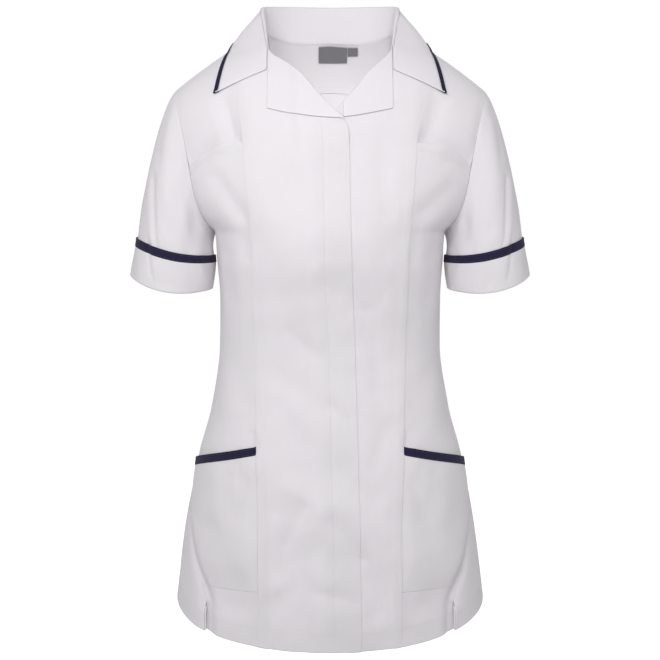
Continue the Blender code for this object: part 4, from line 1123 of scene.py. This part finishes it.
def sleeve_relief(degrees, far, total):
    """Creases of the sleeve, faded out at the armhole and at the end."""
    height = np.zeros(far.shape)
    for from_a, from_d, to_a, to_d, half_width, depth in SLEEVE_CREASES:
        x = np.radians((degrees - from_a + 180) % 360 - 180) * ARM_RADIUS
        run = math.radians(to_a - from_a) * ARM_RADIUS, to_d - from_d
        height -= depth * stroke(x, far - from_d, *run, half_width)
    around = np.radians(degrees)
    height += SLEEVE_HILLS * (np.sin(3 * around + far * 60) + 0.7 * np.sin(5 * around - far * 85 + 1.3))
    fade = smooth_step(far, 0, SLEEVE_FADE[0])
    fade = fade * (1 - 0.5 * smooth_step(far, total - SLEEVE_FADE[1], total))
    inner = bell(degrees - INNER_ANGLE, INNER_WIDTH) * bell(total - far - INNER_ABOVE_END, INNER_LENGTH)
    return height * fade + INNER_LIFT * inner


# %% [markdown]
# With the lines drawn, the sleeve, its cuff and the band are three tubes cut from the same lines.
# The cuff folds in at the bottom, so its edge is a soft roll and not a cut.


# %% Sleeves, cuffs and bands
SLEEVE_MARGINS = (0.0004, 0.0027)  # left free at the armhole, and at both ends together
CUFF_MARGIN = 0.0016
BAND_MARGIN = 0.03  # of its width
SLEEVE_HEAD = [("low", SEAM_DEPTH, TURN)]
CUFF_FOLD = ("high", 0.022, 0.0038)
BAND_TURNS = [("low", 0.0045, TURN), ("high", 0.0045, TURN)]
BAND_STITCHES = [("low", 0.0013), ("high", 0.0013)]


def make_sleeve(hand):
    band_share = CUFF_BAND / np.mean(CUFF_DEPTH)
    sleeve_rows, cuff_rows, band_rows = steps(0.17), steps(0.033, 0.0025), steps(CUFF_BAND, 0.0015)

    def tube(name, rows_of, lift, finish, turns, stitches=()):
        points, out = sleeve_grid(hand, rows_of)
        name = f"{name}_{side_name(hand)}"
        return sew_and_turn(name, points + out * lift, out, finish, turns, stitches, tube=True)

    def rows_of_sleeve(total, cuff):
        return SLEEVE_MARGINS[0] + (total - SLEEVE_MARGINS[1]) * sleeve_rows

    def rows_of_cuff(total, cuff):
        return total - cuff * (1 - band_share) * (1 - cuff_rows) - CUFF_MARGIN * cuff_rows

    def rows_of_band(total, cuff):
        return total - cuff + cuff * band_share * (BAND_MARGIN + (1 - 2 * BAND_MARGIN) * band_rows)

    tube("sleeve", rows_of_sleeve, 0, white, SLEEVE_HEAD)
    tube("cuff", rows_of_cuff, LAYER, white, [CUFF_FOLD])
    tube("cuff_band", rows_of_band, LAYER + 0.0004, navy, BAND_TURNS, BAND_STITCHES)


for hand in BOTH:
    make_sleeve(hand)
    print("sleeve, cuff and band", side_name(hand))

# %% [markdown]
# ## Collar
# The collar stands up from the neck seam, folds over a soft roll and falls on to the shoulders. A
# fitter lays it down last, and so does this cell: the fall is pushed out wherever it would pass
# through the form. Its outer edge is bound with a narrow navy strip that wraps round it.

# %% Collar and its binding
COLLAR_FOLD = [
    (0.0728, -0.0455, -0.0125), (0.0750, -0.0300, 0.0025), (0.0772, -0.0130, 0.0170),
    (0.0800, 0.0030, 0.0300), (0.0800, 0.0190, 0.0372), (0.0705, 0.0380, 0.0400),
    (0.0530, 0.0535, 0.0415), (0.0280, 0.0635, 0.0422), (0.0000, 0.0668, 0.0422),
]
COLLAR_OUTER = [
    (0.1334, -0.0603, -0.0687), (0.1280, -0.0440, -0.0470), (0.1218, -0.0230, -0.0258),
    (0.1155, 0.0000, -0.0112), (0.1085, 0.0260, -0.0125), (0.0960, 0.0500, -0.0165),
    (0.0720, 0.0690, -0.0190), (0.0380, 0.0795, -0.0200), (0.0000, 0.0830, -0.0200),
]
COLLAR_NOTCH = (0.0728, -0.0700, -0.0425)
COLLAR_NOTCH_SHARE = 0.27
COLLAR_END = 0.30
COLLAR_ROLL = (0.0016, 0.0028)
COLLAR_SWELL = 0.003
COLLAR_CLEARANCE = 0.0024
COLLAR_TRIM = 0.0045
TRIM_ROWS = 6
TRIM_STANDS = 0.0007
INSIDE = (0.6, 0.2, -0.16)  # shares of X and Y, and Z: a place in the body, which tells out from in
STAND_ROWS = 7
COLLAR_CLOTH = 0.0011  # two layers and what stiffens them


def curve_3d(at, points):
    """Points at shares 0 to 1 of a smooth line through the points, by length."""
    length = running_length(points)
    return np.stack([spline(at, length / length[-1], points[:, k]) for k in range(3)], axis=-1)


def both_hands(points):
    """A line given on the wearer's left, joined to its mirror image on the right."""
    left = np.asarray(points, float)
    return np.concatenate([left * (-1, 1, 1), left[-2::-1]])


def neck_seam_points(count):
    front_level = np.linspace(float(level_at(FRONT, *GORGE)), 1, 30)
    x = spline(front_level, [front_level[0], 1], [GORGE[0], NECK_POINT])
    front = plain_form(LEFT, FRONT, turn_at(FRONT, front_level, x), front_level)
    back_x = np.linspace(NECK_POINT, 0, 40)[1:]
    back_level = back_neck_level(back_x)
    back = plain_form(LEFT, BACK, turn_at(BACK, back_level, back_x), back_level)
    return resample(both_hands(np.concatenate([front, back])), count)


def form_tree():
    """The form as a tree that finds its nearest point."""
    vertices, faces = [], []
    rows, columns = 90, 50
    level = np.linspace(UNDERARM_LEVEL - 0.1, 1, rows)[:, None]
    for hand in BOTH:
        for face in (FRONT, BACK):
            edge = edge_turn(face, level)
            turn = edge + (math.pi / 2 - edge) * np.linspace(0, 1, columns)[None, :]
            points = plain_form(hand, face, turn, np.repeat(level, columns, axis=1))
            first = len(vertices)
            vertices += [Vector(p) for p in points.reshape(-1, 3)]
            corners = first + np.arange(rows - 1)[:, None] * columns + np.arange(columns - 1)
            quads = np.stack([corners, corners + 1, corners + columns + 1, corners + columns], axis=-1)
            faces += quads.reshape(-1, 4).tolist()
    return BVHTree.FromPolygons(vertices, faces)


def rest_on(tree, points, clearance):
    """Moves each point out until it is at least the clearance outside the form."""
    moved = points.copy()
    for index in np.ndindex(points.shape[:-1]):
        point = Vector(moved[index])
        near, _, _, _ = tree.find_nearest(point)
        outward = (near - Vector((near.x * INSIDE[0], near.y * INSIDE[1], INSIDE[2]))).normalized()
        offset = point - near
        distance = offset.length * (1 if offset.dot(outward) > 0 else -1)
        if distance < clearance:
            away = offset.normalized() * (1 if distance > 0 else -1) if offset.length > 1e-5 else outward
            moved[index] = near + away * clearance
    return moved


count, seam_count = 151, 601
at = steps(0.45)
at = np.interp(np.linspace(0, 1, count), np.linspace(0, 1, len(at)), at)
fold, outer = curve_3d(at, both_hands(COLLAR_FOLD)), curve_3d(at, both_hands(COLLAR_OUTER))
neck_line = points_at(at, np.linspace(0, 1, seam_count), neck_seam_points(seam_count))
along = np.linspace(0, 1, 28)[:, None]
arc_turns = np.radians([180, 158, 136, 114, 92, 70, 48, 28, 10])
up = np.array([0, 0, 1.0])
sections = []
for i in range(count):
    side = LEFT if at[i] > 0.5 else RIGHT
    from_end = min(at[i], 1 - at[i]) * 2
    notch = np.array(COLLAR_NOTCH) * (side, 1, 1)
    straight = fold[i] + (outer[i] - fold[i]) * along
    above = fold[i] + (notch - fold[i]) * (along / COLLAR_NOTCH_SHARE)
    below = notch + (outer[i] - notch) * ((along - COLLAR_NOTCH_SHARE) / (1 - COLLAR_NOTCH_SHARE))
    pull = float(1 - smooth_step(from_end, 0.0, COLLAR_END))
    swell = COLLAR_SWELL * np.sin(along * math.pi) * np.array([0.5 * side, 0.0, 1.0]) * (1 - pull)
    leaf = straight * (1 - pull) + np.where(along < COLLAR_NOTCH_SHARE, above, below) * pull + swell
    roll = COLLAR_ROLL[0] + (COLLAR_ROLL[1] - COLLAR_ROLL[0]) * float(smooth_step(from_end, 0.0, 0.5))
    out = unit((leaf[-1] - fold[i]) * (1, 1, 0))
    centre = fold[i] - up * roll
    arc = [centre + roll * (math.cos(a) * out + math.sin(a) * up) for a in arc_turns]
    base = neck_line[i] + up * 0.0008
    stand = [base + (arc[0] - base) * share for share in np.linspace(0, 1, STAND_ROWS + 1)[:-1]]
    sections.append(np.array([*stand, *arc, *leaf[1:]]))
grid = np.array(sections).transpose(1, 0, 2)
leaf_row = STAND_ROWS + len(arc_turns)
grid[leaf_row:] = rest_on(form_tree(), grid[leaf_row:], COLLAR_CLEARANCE)
middle = smooth_step(np.minimum(at, 1 - at), 0.03, 0.08)[:, None]
for _ in range(3):
    even = (grid[leaf_row:-2] + grid[leaf_row + 2 :]) / 2 - grid[leaf_row + 1 : -1]
    grid[leaf_row + 1 : -1] += even * middle / 2
normal = grid_normals(grid, tube=False)
if normal[-3, count // 2, 1] < 0:
    normal = -normal
inwards = unit(grid[-2] - grid[-1])
under_trim = np.linspace(0.5, 0.25, 3)[:, None, None] * COLLAR_TRIM * inwards + grid[-1]
points, out = np.concatenate([grid[:-2], under_trim]), np.concatenate([normal[:-2], normal[-3:]])
shell("collar", points, out, white, cloth=COLLAR_CLOTH)
trim_out = np.repeat(normal[-2:-1], TRIM_ROWS, axis=0)
trim_rows = grid[-1] + inwards * COLLAR_TRIM * np.linspace(1, 0, TRIM_ROWS)[:, None, None]
trim_rows = trim_rows + trim_out * TRIM_STANDS
turns, stitches = [("high", COLLAR_TRIM, 0.0026)], [("low", 0.0010)]
sew_and_turn("collar_trim", trim_rows, trim_out, navy, turns, stitches, cloth=0.0004)
print("collar with", count, "sections")

# %% [markdown]
# ## Lapels
# Each lapel is the top of the front, turned back at the roll line. It is two layers thick and lies
# a little off the front, so it throws the thin dark line seen along its lower edge.

# %% Lapels
LAPEL_SIDE_X = 0.0712
LAPEL_CORNER_Z = -0.0888
LAPEL_LOW_Z = -0.1010
LAPEL_END_X = 0.0155
LAPEL_LEAST = 0.0012
LAPEL_TURN = ("high", 0.020, 0.0044)


def lapel(hand):
    end_x = LAPEL_LEAST - LAPEL_END_X if hand == RIGHT else LAPEL_END_X
    roll = np.array(ROLL[hand])
    own_x = LAPEL_SIDE_X - 0.0003 + (end_x - LAPEL_SIDE_X) * steps(0.08, 0.002)
    top_z = spline(own_x, roll[:, 0], roll[:, 1]) - LAPEL_LEAST
    share = np.clip((LAPEL_SIDE_X - own_x) / (LAPEL_SIDE_X + LAPEL_END_X), 0, 1)
    low_z = LAPEL_CORNER_Z + (LAPEL_LOW_Z - LAPEL_CORNER_Z) * np.sin(share * math.pi / 2)
    low_z = np.minimum(low_z, top_z - LAPEL_LEAST)
    low_level, top_level = level_at(FRONT, own_x, low_z), level_at(FRONT, own_x, top_z)
    level = low_level + (top_level - low_level) * steps(0.07, 0.002)[:, None]
    turn = turn_at(FRONT, level, np.broadcast_to(own_x, level.shape))
    base = plain_form(hand, FRONT, turn, level)
    lift = overlap_lift(hand, base[..., 0], base[..., 2]) + LAYER + LOOSE
    name = f"lapel_{side_name(hand)}"
    return panel(name, hand, FRONT, turn, level, lift, turns=[LAPEL_TURN], cloth=2 * CLOTH)


for hand in BOTH:
    print(lapel(hand).name)

# %% [markdown]
# ## Stitches
# Thread is laid along every line that was marked: the hem, the fly, the pocket mouths and the
# bands. Each stitch is a small grain of thread that dips into the cloth at both ends.


# %% Rows of stitches
STITCH_PITCH = 0.0025
STITCH_HALF = 0.40  # of the pitch
THREAD_RADIUS = 0.00028
# a stitch has its two ends as corners 0 and 1, and four more round its middle
STITCH_FACES = [[0, 2 + k, 2 + (k + 1) % 4] for k in range(4)]
STITCH_FACES += [[1, 2 + (k + 1) % 4, 2 + k] for k in range(4)]


def stitch_rows(name, runs, finish):
    """Every stitch is a stretched eight-sided grain, thick in the middle."""
    vertices, faces, made = [], [], 0
    for line, normal in runs:
        length = running_length(line)
        count = max(int(length[-1] / STITCH_PITCH), 1)
        centres = (np.arange(count) + 0.5) * length[-1] / count
        first = points_at(centres - STITCH_HALF * STITCH_PITCH, length, line)
        last = points_at(centres + STITCH_HALF * STITCH_PITCH, length, line)
        out = unit(points_at(centres, length, normal))
        side = unit(np.cross(out, last - first)) * THREAD_RADIUS
        out = out * THREAD_RADIUS
        middle = points_at(centres, length, line) + out * 0.4
        corners = [first, last, middle + side, middle + out, middle - side, middle - out]
        vertices.append(np.stack(corners, axis=1).reshape(-1, 3))
        faces.append((made + np.arange(count)[:, None, None] * 6 + np.array(STITCH_FACES)).reshape(-1, 3))
        made += 6 * count
    return add_piece(name, np.concatenate(vertices), np.concatenate(faces), finish)


for name, thread, finish in (("thread_white", "white", white_thread), ("thread_navy", "navy", navy_thread)):
    piece = stitch_rows(name, sewn[thread], finish)
    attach(piece, "root")
    print(name, len(piece.data.polygons) // 8, "stitches")

# %% [markdown]
# ## Taking the place of the walls
# Each cloth now replaces the wall of the same name, and says how large it was before it was sewn.

# %% Replacing walls and measuring the cloth
Cut = namedtuple("Cut", "width length area held rests_on slot", defaults=["white_cloth"])
SHOULDERS, FRONTS, SLEEVES, HIP_POCKETS = (
    [f"{name}_right", f"{name}_left"] for name in ("side_back", "front", "sleeve", "hip_pocket")
)
CUTS = {
    "front_right": Cut(0.157, 0.829, 0.107, "hung", ["back"]),
    "front_left": Cut(0.155, 0.828, 0.092, "hung", ["back"]),
    "side_front_upper": Cut(0.111, 0.165, 0.0150, "hung", SHOULDERS),
    "side_front_lower": Cut(0.154, 0.630, 0.0745, "hung", FRONTS),
    "side_back": Cut(0.314, 0.745, 0.1135, "hung", ["back"]),
    "back": Cut(0.345, 0.767, 0.144, "hung", SHOULDERS),
    "back_neck_facing": Cut(0.252, 0.133, 0.0161, "laid", ["back"]),
    "lapel_right": Cut(0.134, 0.129, 0.0062, "folded", ["front_right"]),
    "lapel_left": Cut(0.098, 0.122, 0.0044, "folded", ["front_left"]),
    "collar": Cut(0.493, 0.117, 0.0395, "folded", ["back"]),
    "collar_trim": Cut(0.496, 0.0135, None, "folded", ["collar"], "navy_trim"),
    "sleeve": Cut(0.431, 0.241, 0.0515, "hung", SHOULDERS),
    "cuff": Cut(0.341, 0.067, 0.0205, "folded", SLEEVES),
    "cuff_band": Cut(0.338, 0.0190, None, "folded", SLEEVES, "navy_trim"),
    "hip_pocket": Cut(0.125, 0.157, 0.0163, "hung", FRONTS),
    "hip_pocket_band": Cut(0.127, 0.0190, None, "folded", HIP_POCKETS, "navy_trim"),
    "neck_label": Cut(0.035, 0.023, None, "hung", ["back_neck_facing"], "grey_label"),
    "size_tab": Cut(0.012, 0.013, None, "hung", ["back_neck_facing"], "grey_label"),
}


def own_side(names, node):
    """Of a pair of names, the one on the same side as the node."""
    side = node.rsplit("_", 1)[-1]
    return [name for name in names if name.endswith(side)] or names


def measured_area(piece):
    size = np.empty(len(piece.data.polygons))
    piece.data.polygons.foreach_get("area", size)
    return size.sum() / 2


for node in sorted(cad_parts):
    piece = bpy.data.objects[node + "_cloth"]
    cut = CUTS.get(node) or CUTS[node.rsplit("_", 1)[0]]
    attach(piece, "root")
    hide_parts(node)
    below = own_side(cut.rests_on, node)
    cut_area = cut.area or cut.width * cut.length
    print(node, "cut", round(cut_area, 4), "m2, sewn", round(measured_area(piece), 4), "m2")

# %% [markdown]
# ## A white studio
# The tunic hangs in the air in front of white, as worn clothes are shown in a shop. A pale floor
# lies far below. It and the white dome behind throw no light on the cloth, which would fill every
# crease from below. The cloth is lit by soft lamps and a faint even sky.

# %% Floor, backdrop and lights
FLOOR_RADIUS, FLOOR_Z, FLOOR_CORNERS = 6, -1.40, 96
DOME_RADIUS = 9.0
MIDDLE_OF_CHEST = (0, 0, -0.2)
LIGHTS = [  # name, place, what it faces, width, height, watts
    ("front softbox", (-0.15, -1.35, 0.30), MIDDLE_OF_CHEST, 0.9, 0.4, 12.3),
    ("side fill right", (-2.2, -0.7, 0.2), MIDDLE_OF_CHEST, 1.0, 1.4, 4.0),
    ("side fill left", (2.2, -0.7, 0.2), MIDDLE_OF_CHEST, 1.0, 1.4, 4.0),
    ("rear softbox", (0, 1.6, 0.6), MIDDLE_OF_CHEST, 1.5, 0.6, 7),
    ("low light behind", (0, 1.0, -1.15), (0, 0, -0.25), 0.7, 0.5, 2),
    ("light inside the neck", (0, -0.015, -0.17), (0, 0.10, -0.03), 0.07, 0.07, 0.085),
]


def stage_finish(name, colour, glow):
    white_light = {"Emission_Color": (1, 1, 1, 1), "Emission_Strength": glow}
    return Finish(name, Base_Color=colour, Roughness=0.9, **white_light).material


around = np.linspace(0, 2 * math.pi, FLOOR_CORNERS, endpoint=False)
circle = np.stack([np.cos(around), np.sin(around), 0 * around], axis=-1) * FLOOR_RADIUS + (0, 0, FLOOR_Z)
pale = stage_finish("pale floor", (0.9, 0.9, 0.9, 1), 0.92)
floor = add_piece("floor", circle, np.arange(FLOOR_CORNERS)[None, :], pale)
floor.visible_diffuse = False  # its light from below would wash out the creases

bpy.ops.mesh.primitive_uv_sphere_add(segments=64, ring_count=32, radius=DOME_RADIUS)
dome = bpy.context.object
dome.name = "white_dome"
dome.data.materials.append(stage_finish("white backdrop", (0, 0, 0, 1), 1.0))
dome.visible_diffuse = dome.visible_glossy = dome.visible_transmission = dome.visible_shadow = False
dome.visible_volume_scatter = False

world = bpy.data.worlds.new("soft white")
bpy.context.scene.world = world
world.use_nodes = True
world.node_tree.nodes["Background"].inputs["Color"].default_value = (0.98, 0.96, 1, 1)
world.node_tree.nodes["Background"].inputs["Strength"].default_value = 0.42


def soft_light(name, place, looks_at, width, height, watts):
    light = bpy.data.lights.new(name, "AREA")
    light.shape, light.size, light.size_y, light.energy = "RECTANGLE", width, height, watts
    lamp = bpy.data.objects.new(name, light)
    bpy.context.scene.collection.objects.link(lamp)
    lamp.location = place
    lamp.rotation_euler = (Vector(looks_at) - Vector(place)).to_track_quat("-Z", "Y").to_euler()
    lamp.visible_camera = False


for light in LIGHTS:
    soft_light(*light)
bpy.context.scene.view_settings.view_transform = "Standard"
